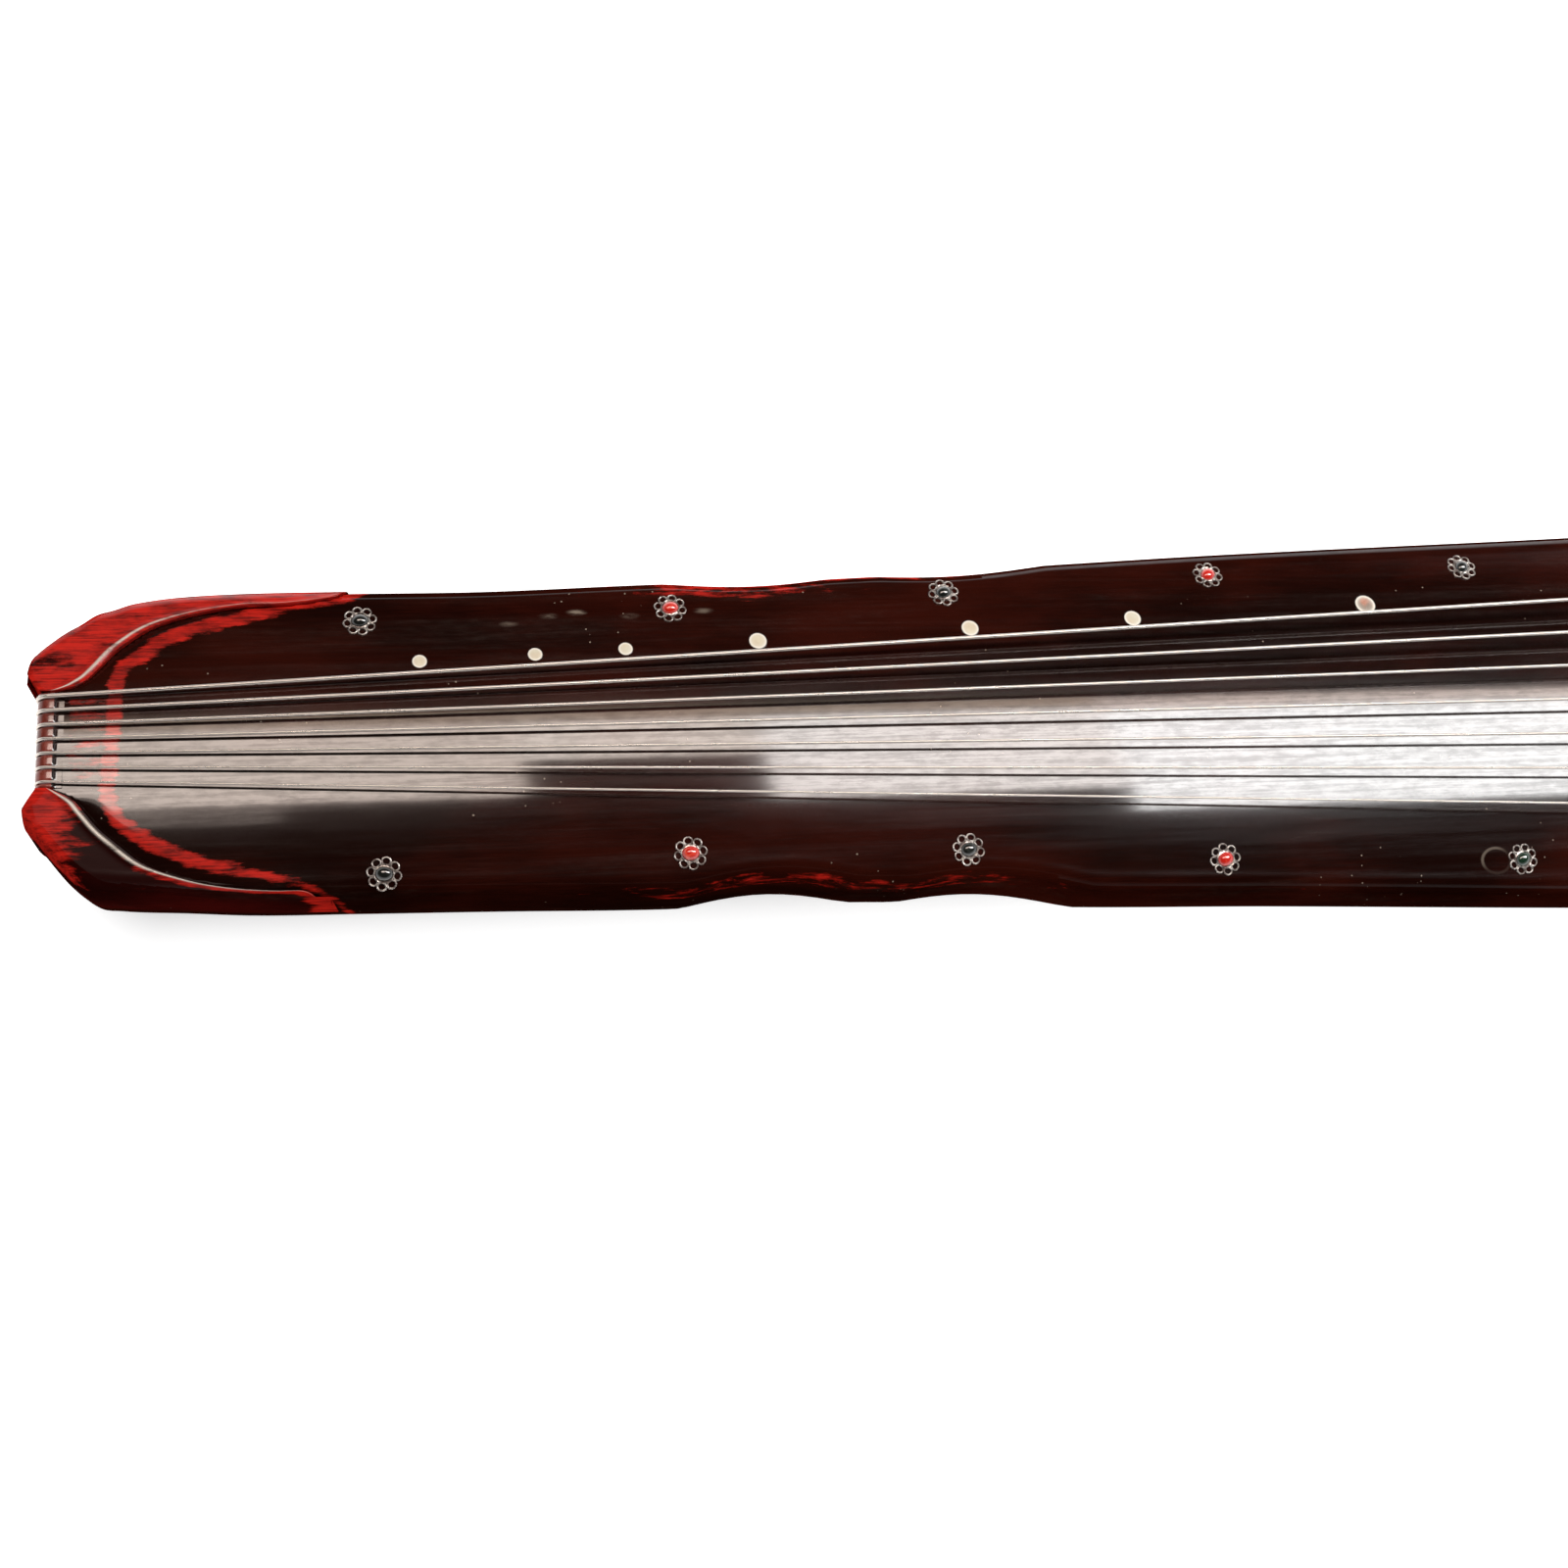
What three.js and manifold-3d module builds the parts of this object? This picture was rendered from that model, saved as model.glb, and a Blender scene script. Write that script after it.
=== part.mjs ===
// Guqin: a seven-string zither with two goose feet under its waist and seven pegs under its head.
// Millimetres, +X from the tail to the head, +Y away from the player, +Z up.
// Places along the instrument are measured from the crest of the tail nut, and heights from the
// flat underside of the body. The group at the end centres it and stands it on the ground.
import * as THREE from 'three';
import { mergeVertices } from 'three/addons/utils/BufferGeometryUtils.js';
import Module from 'manifold-3d';

// Scale and overall sizes
const scaleLength = 1110;
const tailReach = 11;
const headReach = 108;
const bodyHeight = 50;
const shoulderHalf = 97.5;
const archRadius = 330;
const standHeight = 27;

// Clearances: between glued pieces, between a string and what it bends over, and what cuts run past
const glueGap = 0.3;
const restGap = 0.3;
const overrun = 5;

// Outline of the board: place along the scale, half width on the far side, half width on the near side.
// A hand-planed board isn't quite alike on both sides. All three are shares of scale and shoulder.
const flankShares = [
  [-0.0099, 0.267, 0.267], [-0.0090, 0.350, 0.341], [-0.0060, 0.398, 0.380], [-0.0020, 0.443, 0.441],
  [0.0025, 0.487, 0.504], [0.0075, 0.525, 0.558], [0.0125, 0.569, 0.597], [0.0180, 0.590, 0.606],
  [0.0250, 0.620, 0.615], [0.0400, 0.648, 0.627], [0.0650, 0.663, 0.650], [0.1000, 0.666, 0.662],
  [0.1500, 0.668, 0.678], [0.2090, 0.693, 0.700], [0.2880, 0.715, 0.708], [0.3675, 0.771, 0.772],
  [0.4500, 0.825, 0.812], [0.5766, 0.889, 0.885], [0.7970, 1.000, 1.000], [0.9550, 0.959, 0.959],
  [1.0973, 0.923, 0.923],
];
const waistBiteShares = [[0.2172, 0.2808], [0.2999, 0.3699]];
const waistBiteNear = 4.7;
const waistBiteFar = 2.4;
const neckBiteShares = [0.802, 0.946];
const neckBiteDepth = 11;
const headCornerRadius = 16;

// Section of the body: rounded upper edge, upright side, lower part leaning in, rounded foot
const upperRound = 7;
const sideFoot = 4;
const sideLean = 3;
const bellyHeight = 22;
const endRound = 5;
const headDrop = 5;
const bottomThickness = 11;

// Sound chamber, its raised sound pads, and the two pools cut through the bottom board
const chamberStart = 62;
const chamberEnd = 1062;
const sideWall = 13;
const boardThickness = 11;
const padDrop = 7;
const padMargin = 12;
const dragonPoolStart = 596;
const dragonPoolLength = 208;
const phoenixPoolStart = 150;
const phoenixPoolLength = 104;
const poolWidth = 27;
const poolCornerRadius = 5;

// Sound posts
const heavenPostPlace = 860;
const heavenPostDiameter = 16;
const earthPostPlace = 478;
const earthPostSide = 14;

// Tail corners: inner edge of each, as shares of scale and shoulder, and how they sit
const cornerFarShares = [
  [0.0018, 0.208], [0.0066, 0.225], [0.0107, 0.254], [0.0144, 0.302], [0.0206, 0.389], [0.0303, 0.478],
  [0.0402, 0.527], [0.0502, 0.559], [0.0638, 0.585], [0.0775, 0.589], [0.0878, 0.604], [0.0960, 0.628],
  [0.1010, 0.680],
];
const cornerNearShares = [
  [0.0018, 0.218], [0.0078, 0.261], [0.0111, 0.320], [0.0159, 0.388], [0.0223, 0.452], [0.0286, 0.509],
  [0.0350, 0.546], [0.0477, 0.593], [0.0606, 0.622], [0.0736, 0.636], [0.0834, 0.641], [0.0883, 0.669],
  [0.0938, 0.728],
];
const cornerProud = 2.2;
const cornerDepth = 20;
const cornerTipHalf = 29;

// Tail nut and the rest under it
const nutHalf = 19.5;
const nutReach = 5;
const nutFront = 4;
const nutProud = 0.9;
const nutRound = 3.5;
const nutDepth = 22;
const restFront = 16;
const restThickness = 13;
const restProud = 1.2;

// Bridge, string hole strip
const bridgeCrest = 11;
const bridgeBase = 11;
const bridgeTop = 6;
const bridgeBeyondStrings = 12;
const bridgeCrownRadius = 840;
const bridgeEndRound = 5;
const stripGap = 0.5;
const stripWidth = 24;
const stripThickness = 2.6;

// Strings, from the thickest and farthest to the thinnest and nearest. At the bridge the band lies
// a little nearer the player, which leaves room for the position markers on the far side.
const stringDiameters = [1.7, 1.55, 1.4, 1.3, 1.2, 1.1, 1.0];
const spanAtNut = 34.7;
const spanAtBridge = 141.5;
const bandShift = -4.5;
const farFootStrings = 4;
const knotPlace = 8.5;
const knotDiameter = 4.6;
const windingTurns = 1.5;
const turnGap = 0.5;
const stringGap = 0.8;

// Pegs, their pool, plate and tuning cords
const pegRow = 23;
const pegRowSpan = 132;
const pegRowShift = -3;
const pegDiameter = 15;
const pegNeckDiameter = 9.5;
const pegTipDiameter = 8;
const pegGripShares = [
  [0.86, 0.28], [1.00, 0.36], [0.92, 0.46], [0.72, 0.60], [0.84, 0.76], [0.88, 0.88],
];
const pegNeckShare = 0.24;
const pegBore = 5.4;
const pegBoreDepth = 14;
const pegFloorGap = 3;
const pegPoolWidth = 25;
const pegPoolHalf = 78;
const pegPlateThickness = 3;
const cordHole = 5.4;
const cordDiameter = 1.9;
const cordGap = 0.5;
const cordBend = 3.2;
const cordInPeg = 10;
const cordSpreadShare = 1.4;

// Peg guards, goose feet and their socket blocks
const guardLength = 44;
const guardThickness = 8;
const guardGap = 0.5;
const guardSoleShare = 0.62;
const footPlace = 320;
const footSpread = 74;
const footSoleDiameter = 25;
const footNeckDiameter = 17;
const footCollarDiameter = 23;
const footCollarHeight = 2;
const footSoleHeight = 3.5;
const footEdgeShare = 0.6;
const tenonSide = 15;
const tenonLength = 28;
const socketLength = 36;
const socketWidth = 34;
const socketHeight = 22;
const mortiseGap = 0.3;

// Position markers from the tail to the head: share of the scale, and their three sizes
const huiScaleShares = [1 / 8, 1 / 6, 1 / 5, 1 / 4, 1 / 3, 2 / 5, 1 / 2, 3 / 5, 2 / 3, 3 / 4, 4 / 5, 5 / 6, 7 / 8];
const huiSmall = 6.3;
const huiMedium = 8;
const huiLarge = 10;
const huiThickness = 1.2;
const huiOffset = 6.35;
const huiOffsetShare = 0.0034;

// Wire rosettes along both edges: place and distance out, as shares of scale and shoulder
const rosetteFarShares = [
  [0.1041, 0.507], [0.2181, 0.547], [0.3253, 0.608], [0.4361, 0.686], [0.5481, 0.713], [0.6592, 0.765],
  [0.7700, 0.805],
];
const rosetteNearShares = [
  [0.1106, 0.587], [0.2185, 0.553], [0.3219, 0.583], [0.4221, 0.668], [0.5454, 0.722], [0.6500, 0.770],
  [0.7560, 0.810],
];
const rosetteDiameter = 13.5;
const rosettePetals = 8;
const petalShare = 0.86;
const rosetteThickness = 0.9;
const rosetteSink = 0.8;
const stoneDiameter = 7.5;
const stoneHeight = 2.4;
const stoneShoulderShare = 0.8;

// Fineness of the curved faces
const stationStep = 34;
const curveStep = 14;
const cornerSteps = 5;
const archSteps = 6;
const roundSteps = 3;
const roundSides = 16;
const huiSides = 12;
const pegSides = 12;
const wireSides = 6;
const cordSides = 8;
const turnSteps = 18;
const bendSteps = 5;

const lacquer = new THREE.MeshStandardMaterial({ color: 0x22100c, roughness: 0.22, metalness: 0 });
const redLacquer = new THREE.MeshStandardMaterial({ color: 0xb0302a, roughness: 0.3, metalness: 0 });
const hardwood = new THREE.MeshStandardMaterial({ color: 0x33160e, roughness: 0.45, metalness: 0 });
const paleWood = new THREE.MeshStandardMaterial({ color: 0xc39a66, roughness: 0.7, metalness: 0 });
const pearl = new THREE.MeshStandardMaterial({ color: 0xe9e1c4, roughness: 0.25, metalness: 0 });
const wire = new THREE.MeshStandardMaterial({ color: 0xb9b4ac, roughness: 0.35, metalness: 0.6 });
const silk = new THREE.MeshStandardMaterial({ color: 0x6e2620, roughness: 0.7, metalness: 0 });

const wasm = await Module();
wasm.setup();

const headEnd = scaleLength + headReach;
const nutCrest = bodyHeight + nutProud;
const bridgeHeight = nutCrest + bridgeCrest;
const seamHeight = bottomThickness + glueGap;

// Turns a closed surface into a solid that can be joined and cut.
function solidOf(geometry) {
  const bare = geometry.clone();
  bare.deleteAttribute('normal');
  bare.deleteAttribute('uv');
  const merged = mergeVertices(bare);
  const vertProperties = Float32Array.from(merged.attributes.position.array);
  const triVerts = Uint32Array.from(merged.index.array);
  return new wasm.Manifold(new wasm.Mesh({ numProp: 3, vertProperties, triVerts }));
}

// Turns a solid back into a surface.
function surfaceOf(solid) {
  const { vertProperties, triVerts } = solid.getMesh();
  const geometry = new THREE.BufferGeometry();
  geometry.setAttribute('position', new THREE.BufferAttribute(vertProperties, 3));
  geometry.setIndex(new THREE.BufferAttribute(triVerts, 1));
  geometry.computeVertexNormals();
  return geometry;
}

// Turns the faces of a closed surface outwards, going by the sign of its volume.
function facedOut(geometry) {
  const place = geometry.attributes.position;
  const index = Array.from(geometry.index.array);
  const corner = (i) => new THREE.Vector3().fromBufferAttribute(place, index[i]);
  let volume = 0;
  for (let i = 0; i < index.length; i += 3) {
    volume += corner(i).dot(corner(i + 1).cross(corner(i + 2)));
  }
  geometry.setIndex(volume < 0 ? index.reverse() : index);
  geometry.computeVertexNormals();
  return geometry;
}

// Skins a row of rings, each with as many points, and closes both ends.
function skin(rings) {
  const count = rings[0].length;
  const index = [];
  for (let row = 0; row < rings.length - 1; row += 1) {
    for (let side = 0; side < count; side += 1) {
      const next = (side + 1) % count;
      const [a, b] = [row * count + side, row * count + next];
      index.push(a, b, b + count, a, b + count, a + count);
    }
  }
  const last = (rings.length - 1) * count;
  for (let side = 1; side < count - 1; side += 1) {
    index.push(0, side + 1, side, last, last + side, last + side + 1);
  }
  const geometry = new THREE.BufferGeometry().setFromPoints(rings.flat());
  geometry.setIndex(index);
  return facedOut(geometry);
}

// A box between two corners.
function block(low, high) {
  const size = new THREE.Vector3().subVectors(high, low);
  const middle = new THREE.Vector3().addVectors(low, high).multiplyScalar(1 / 2);
  return new THREE.BoxGeometry(size.x, size.y, size.z).translate(middle.x, middle.y, middle.z);
}

function at(x, y, z) {
  return new THREE.Vector3(x, y, z);
}

// A plan outline raised from one height to another.
function raisedPlan(shape, low, high) {
  const depth = high - low;
  return new THREE.ExtrudeGeometry(shape, { depth, bevelEnabled: false, curveSegments: cornerSteps })
    .translate(0, 0, low);
}

// A side profile, in place and height, drawn out across the width from one side to the other.
function drawnProfile(shape, near, far) {
  const depth = far - near;
  return new THREE.ExtrudeGeometry(shape, { depth, bevelEnabled: false, curveSegments: cornerSteps })
    .rotateX(Math.PI / 2)
    .translate(0, far, 0);
}

// A profile of radius and height turned about an upright axis.
function turned(profile, sides, x, y) {
  const points = profile.map(([radius, height]) => new THREE.Vector2(radius, height));
  return facedOut(new THREE.LatheGeometry(points, sides).rotateX(Math.PI / 2).translate(x, y, 0));
}

// A round bar that follows a route of points, with rings square to the route.
function drawnWire(route, diameter, sides) {
  const radius = diameter / 2;
  const heading = route.map((point, i) => {
    const before = route[Math.max(i - 1, 0)];
    const after = route[Math.min(i + 1, route.length - 1)];
    return after.clone().sub(before).normalize();
  });
  const across = at(0, 1, 0);
  across.addScaledVector(heading[0], -across.dot(heading[0])).normalize();
  const rings = route.map((point, i) => {
    across.addScaledVector(heading[i], -across.dot(heading[i])).normalize();
    const over = heading[i].clone().cross(across);
    return Array.from({ length: sides }, (_, side) => {
      const angle = (2 * Math.PI * side) / sides;
      return point.clone()
        .addScaledVector(across, radius * Math.cos(angle))
        .addScaledVector(over, radius * Math.sin(angle));
    });
  });
  return skin(rings);
}

// Smooth curve through places and the values in one column, read at one place.
function smoothThrough(table, column, place) {
  const slope = (i) => {
    const low = table[Math.max(i - 1, 0)];
    const high = table[Math.min(i + 1, table.length - 1)];
    return (high[column] - low[column]) / (high[0] - low[0]);
  };
  let i = 0;
  while (i < table.length - 2 && place > table[i + 1][0]) {
    i += 1;
  }
  const width = table[i + 1][0] - table[i][0];
  const t = Math.min(Math.max((place - table[i][0]) / width, 0), 1);
  const [low, high] = [table[i][column], table[i + 1][column]];
  const ease = t * t * (3 - 2 * t);
  const leave = t * (1 - t) * (1 - t) * width * slope(i);
  const arrive = t * t * (t - 1) * width * slope(i + 1);
  return low + (high - low) * ease + leave + arrive;
}

// Half width of the board at a place, on the far side (side 1) or the near side (side -1).
function halfWidth(x, side) {
  const share = x / scaleLength;
  const biteOf = ([from, to], depth) => {
    const t = (share - from) / (to - from);
    return t > 0 && t < 1 ? depth * Math.sin(Math.PI * t) : 0;
  };
  let half = shoulderHalf * smoothThrough(flankShares, side > 0 ? 1 : 2, share);
  const waistDepth = side > 0 ? waistBiteFar : waistBiteNear;
  waistBiteShares.forEach((bite) => {
    half -= biteOf(bite, waistDepth);
  });
  half -= biteOf(neckBiteShares, neckBiteDepth);
  const intoCorner = Math.max(x - (headEnd - headCornerRadius), 0);
  return half - headCornerRadius + Math.sqrt(headCornerRadius ** 2 - Math.min(intoCorner, headCornerRadius) ** 2);
}

// Places of the cross sections: close together where the outline curves, wide apart elsewhere.
function stations(start, end) {
  const places = new Set([start, end]);
  const add = (x) => {
    if (x > start && x < end) {
      places.add(x);
    }
  };
  flankShares.forEach(([share]) => add(share * scaleLength));
  [...waistBiteShares, neckBiteShares].forEach(([from, to]) => {
    const steps = Math.round(((to - from) * scaleLength) / curveStep);
    for (let i = 0; i <= steps; i += 1) {
      add((from + ((to - from) * i) / steps) * scaleLength);
    }
  });
  for (let i = 0; i < cornerSteps; i += 1) {
    add(headEnd - headCornerRadius * (1 - Math.sin((Math.PI / 2) * (i / cornerSteps))));
  }
  add(-tailReach + endRound);
  add(headEnd - endRound);
  const sorted = [...places].sort((a, b) => a - b);
  const filled = [];
  sorted.forEach((x, i) => {
    filled.push(x);
    const span = (sorted[i + 1] ?? x) - x;
    const extra = Math.floor(span / (stationStep * 2));
    for (let step = 1; step <= extra; step += 1) {
      filled.push(x + (span * step) / (extra + 1));
    }
  });
  return filled.filter((x, i) => i === 0 || x - filled[i - 1] > glueGap);
}

// Height of the crown line: level over the scale, dropping over the head and rounded at both ends.
function crown(x) {
  const pastBridge = Math.max(x - scaleLength, 0) / headReach;
  const toEnd = Math.min(x + tailReach, headEnd - x, endRound);
  const roundOff = endRound - Math.sqrt(endRound ** 2 - (endRound - toEnd) ** 2);
  return bodyHeight - headDrop * pastBridge ** 2 - roundOff / 2;
}

// Height of the arched surface at a place and a distance from the centre line.
function surface(x, y) {
  return crown(x) - (y * y) / (2 * archRadius);
}

// Half of a cross section of the whole body, from the underside up to the crown.
function halfSection(x, side, lift) {
  const half = halfWidth(x, side);
  const round = Math.min(upperRound, half / 2);
  const shoulder = half - round;
  const roundTop = surface(x, shoulder) + lift;
  const points = [
    [half - sideLean - sideFoot / 2, 0],
    [half - sideLean, sideFoot],
    [half - sideLean / 3, (sideFoot + bellyHeight) / 2],
    [half, bellyHeight],
  ];
  for (let i = 0; i < roundSteps; i += 1) {
    const angle = ((Math.PI / 2) * i) / roundSteps;
    points.push([shoulder + round * Math.cos(angle), roundTop - round + round * Math.sin(angle)]);
  }
  for (let i = 0; i < archSteps / 2; i += 1) {
    const y = shoulder * (1 - (2 * i) / archSteps);
    points.push([y, surface(x, y) + lift]);
  }
  return points;
}

// The whole body as one closed surface, its arched top lifted by a given height.
function bodySurface(lift) {
  const rings = stations(-tailReach, headEnd).map((x) => {
    const far = halfSection(x, 1, lift).map(([y, z]) => at(x, y, z));
    const near = halfSection(x, -1, lift).map(([y, z]) => at(x, -y, z));
    return [...far, at(x, 0, surface(x, 0) + lift), ...near.reverse()];
  });
  return skin(rings);
}

// The hollow under the top board: arched roof, upright walls, drawn in from the outline by the side wall.
function chamberSurface(clearance) {
  const [start, end] = [chamberStart + clearance, chamberEnd - clearance];
  const roofAt = (x, y) => surface(x, y) - boardThickness - clearance;
  const rings = stations(start, end).map((x) => {
    const far = halfWidth(x, 1) - sideWall - clearance;
    const near = halfWidth(x, -1) - sideWall - clearance;
    const ring = [at(x, far, seamHeight - overrun)];
    for (let i = 0; i <= archSteps / 2; i += 1) {
      const y = far - ((far + near) * i) / (archSteps / 2);
      ring.push(at(x, y, roofAt(x, y)));
    }
    ring.push(at(x, -near, seamHeight - overrun));
    return ring;
  });
  return skin(rings);
}

// A long pool with rounded corners, seen in plan.
function poolPlan(start, length, width, radius) {
  const [low, high] = [-width / 2, width / 2];
  const end = start + length;
  const shape = new THREE.Shape();
  shape.moveTo(start + radius, low);
  shape.lineTo(end - radius, low);
  shape.absarc(end - radius, low + radius, radius, -Math.PI / 2, 0, false);
  shape.absarc(end - radius, high - radius, radius, 0, Math.PI / 2, false);
  shape.lineTo(start + radius, high);
  shape.absarc(start + radius, high - radius, radius, Math.PI / 2, Math.PI, false);
  shape.absarc(start + radius, low + radius, radius, Math.PI, (Math.PI * 3) / 2, false);
  return shape;
}

// Plan of one tail corner: its inner edge, then round the outside of the board and back to the tip.
function cornerPlan(side, clearance) {
  const inner = (side > 0 ? cornerFarShares : cornerNearShares).map(([along, across]) => [
    along * scaleLength + clearance,
    across * shoulderHalf - clearance,
  ]);
  const lastInner = inner[inner.length - 1];
  const outside = shoulderHalf;
  const points = [
    [nutFront - nutReach, nutHalf + glueGap - clearance],
    ...inner,
    [lastInner[0] + clearance, outside],
    [-tailReach - overrun, outside],
    [-tailReach - overrun, cornerTipHalf - clearance],
    [-nutReach, nutHalf + glueGap - clearance],
  ];
  return new THREE.Shape(points.map(([x, y]) => new THREE.Vector2(x, side * y)));
}

function cornerCut(side, clearance) {
  return solidOf(raisedPlan(cornerPlan(side, clearance), cornerDepth - clearance, bodyHeight + cornerProud + overrun));
}

// Where a string crosses the nut and the bridge, and where its tuning cord goes down to the peg.
const stringNumbers = stringDiameters.map((_, i) => i);
const outermost = stringNumbers.length - 1;

function spread(i, span) {
  return span * (1 / 2 - i / outermost);
}

function bridgeY(i) {
  return spread(i, spanAtBridge) + bandShift;
}

function pegY(i) {
  return spread(i, pegRowSpan) + pegRowShift;
}

function bridgeTopAt(y) {
  return bridgeHeight - (y * y) / (2 * bridgeCrownRadius);
}

// Side profile of the tail nut: flat crest, rounded towards the tail end.
function nutProfile() {
  const low = bodyHeight - nutDepth;
  const shape = new THREE.Shape();
  shape.moveTo(-nutReach, low);
  shape.lineTo(nutFront, low);
  shape.lineTo(nutFront, nutCrest - nutProud);
  shape.lineTo(nutFront / 2, nutCrest);
  shape.lineTo(nutRound - nutReach, nutCrest);
  shape.absarc(nutRound - nutReach, nutCrest - nutRound, nutRound, Math.PI / 2, Math.PI, false);
  return shape;
}

// Side profile of the rest at the lower edge of the tail end, rounded where the strings turn under.
function restProfile() {
  const shape = new THREE.Shape();
  shape.moveTo(-nutReach, restThickness);
  shape.lineTo(-nutReach, nutRound - restProud);
  shape.absarc(nutRound - nutReach, nutRound - restProud, nutRound, Math.PI, (Math.PI * 3) / 2, false);
  shape.lineTo(restFront, -restProud);
  shape.lineTo(restFront, restThickness);
  return shape;
}

const body = solidOf(bodySurface(0));
const aboveSeam = solidOf(block(
  at(-tailReach - overrun, -shoulderHalf - overrun, seamHeight),
  at(headEnd + overrun, shoulderHalf + overrun, bodyHeight + overrun),
));
const belowSeam = solidOf(block(
  at(-tailReach - overrun, -shoulderHalf - overrun, -overrun),
  at(headEnd + overrun, shoulderHalf + overrun, bottomThickness),
));
const footPlaces = [-footSpread / 2, footSpread / 2];
const holePlace = scaleLength + pegRow;

// Space behind the tail end of the boards, which the nut and its rest close.
function tailSpace(low, high, front) {
  return solidOf(block(
    at(-tailReach - overrun, -nutHalf - glueGap, low),
    at(front, nutHalf + glueGap, high),
  ));
}

// Square socket block and the tenon hole through it.
function socketBlock(y, clearance) {
  return solidOf(block(
    at(footPlace - socketLength / 2 - clearance, y - socketWidth / 2 - clearance, seamHeight - clearance),
    at(footPlace + socketLength / 2 + clearance, y + socketWidth / 2 + clearance, seamHeight + socketHeight + clearance),
  ));
}

function mortise(y) {
  const half = tenonSide / 2 + mortiseGap;
  return solidOf(block(at(footPlace - half, y - half, -overrun), at(footPlace + half, y + half, tenonLength + mortiseGap)));
}

// A position marker lies in its own pocket, tilted with the arch.
const huiSizes = [1, 1, 1, 2, 2, 2, 3, 2, 2, 2, 1, 1, 1].map((size) => [huiSmall, huiMedium, huiLarge][size - 1]);

function huiFrame(i) {
  const x = huiScaleShares[i] * scaleLength;
  const firstString = spread(0, spanAtNut) + (bridgeY(0) - spread(0, spanAtNut)) * huiScaleShares[i];
  const y = firstString + huiOffset + huiOffsetShare * x;
  return { x, y, z: surface(x, y), tilt: -Math.atan(y / archRadius) };
}

function huiDisc(i, clearance, above) {
  const depth = huiThickness + clearance + above;
  const disc = new THREE.CylinderGeometry(huiSizes[i] / 2 + clearance, huiSizes[i] / 2 + clearance, depth, huiSides)
    .rotateX(Math.PI / 2)
    .translate(0, 0, above - depth / 2);
  const { x, y, z, tilt } = huiFrame(i);
  return disc.rotateX(tilt).translate(x, y, z);
}

// One rosette: a scalloped plate with a domed stone, sunk a little into the board that carries it.
function rosette(x, y) {
  const rim = Array.from({ length: rosettePetals * 2 }, (_, i) => {
    const radius = (rosetteDiameter / 2) * (i % 2 === 0 ? 1 : petalShare);
    const angle = (Math.PI * i) / rosettePetals;
    return new THREE.Vector2(radius * Math.cos(angle), radius * Math.sin(angle));
  });
  const plate = raisedPlan(new THREE.Shape(rim), -rosetteSink, rosetteThickness);
  const dome = [
    [0, -rosetteSink], [stoneDiameter / 2, -rosetteSink], [stoneDiameter / 2, rosetteThickness],
    [(stoneDiameter * Math.SQRT1_2) / 2, stoneHeight * stoneShoulderShare], [0, stoneHeight],
  ];
  const stone = turned(dome, rosettePetals, 0, 0);
  const tilt = -Math.atan(y / archRadius);
  const whole = surfaceOf(solidOf(plate).add(solidOf(stone)));
  return solidOf(whole.rotateX(tilt).translate(x, y, surface(x, y)));
}

function makeTopBoard() {
  const pads = [[phoenixPoolStart, phoenixPoolLength], [dragonPoolStart, dragonPoolLength]].map(([start, length]) => {
    const half = poolWidth / 2 + padMargin;
    return solidOf(block(
      at(start - padMargin, -half, bodyHeight - boardThickness - padDrop),
      at(start + length + padMargin, half, bodyHeight),
    ));
  });
  let hollow = solidOf(chamberSurface(0));
  pads.forEach((pad) => {
    hollow = hollow.subtract(pad);
  });
  let board = body.intersect(aboveSeam).subtract(hollow);
  [-1, 1].forEach((side) => {
    board = board.subtract(cornerCut(side, glueGap));
  });
  board = board.subtract(tailSpace(bodyHeight - nutDepth - glueGap, bodyHeight + overrun, nutFront + glueGap));
  board = board.subtract(tailSpace(-overrun, restThickness + glueGap, restFront + glueGap));
  board = board.subtract(tailSpace(-overrun, bodyHeight, glueGap - nutReach));
  footPlaces.forEach((y) => {
    board = board.subtract(socketBlock(y, glueGap));
  });
  stringNumbers.forEach((i) => {
    const hole = turned([[0, -overrun], [cordHole / 2, -overrun], [cordHole / 2, bodyHeight + overrun],
      [0, bodyHeight + overrun]], cordSides, holePlace, pegY(i));
    board = board.subtract(solidOf(hole));
  });
  huiScaleShares.forEach((_, i) => {
    board = board.subtract(solidOf(huiDisc(i, glueGap, overrun)));
  });
  rosetteFarShares.forEach(([along, across]) => {
    board = board.add(rosette(along * scaleLength, across * shoulderHalf));
  });
  rosetteNearShares.forEach(([along, across]) => {
    board = board.add(rosette(along * scaleLength, -across * shoulderHalf));
  });
  return surfaceOf(board);
}

function makeBottomBoard() {
  let board = body.intersect(belowSeam);
  [[phoenixPoolStart, phoenixPoolLength], [dragonPoolStart, dragonPoolLength]].forEach(([start, length]) => {
    const plan = poolPlan(start, length, poolWidth, poolCornerRadius);
    board = board.subtract(solidOf(raisedPlan(plan, -overrun, bottomThickness + overrun)));
  });
  const pegPool = poolPlan(holePlace - pegPoolWidth / 2, pegPoolWidth, pegPoolHalf * 2, poolCornerRadius);
  board = board.subtract(solidOf(raisedPlan(pegPool, -overrun, bottomThickness + overrun)));
  footPlaces.forEach((y) => {
    board = board.subtract(mortise(y));
  });
  board = board.subtract(tailSpace(-overrun, bottomThickness + overrun, restFront + glueGap));
  return surfaceOf(board);
}

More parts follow.
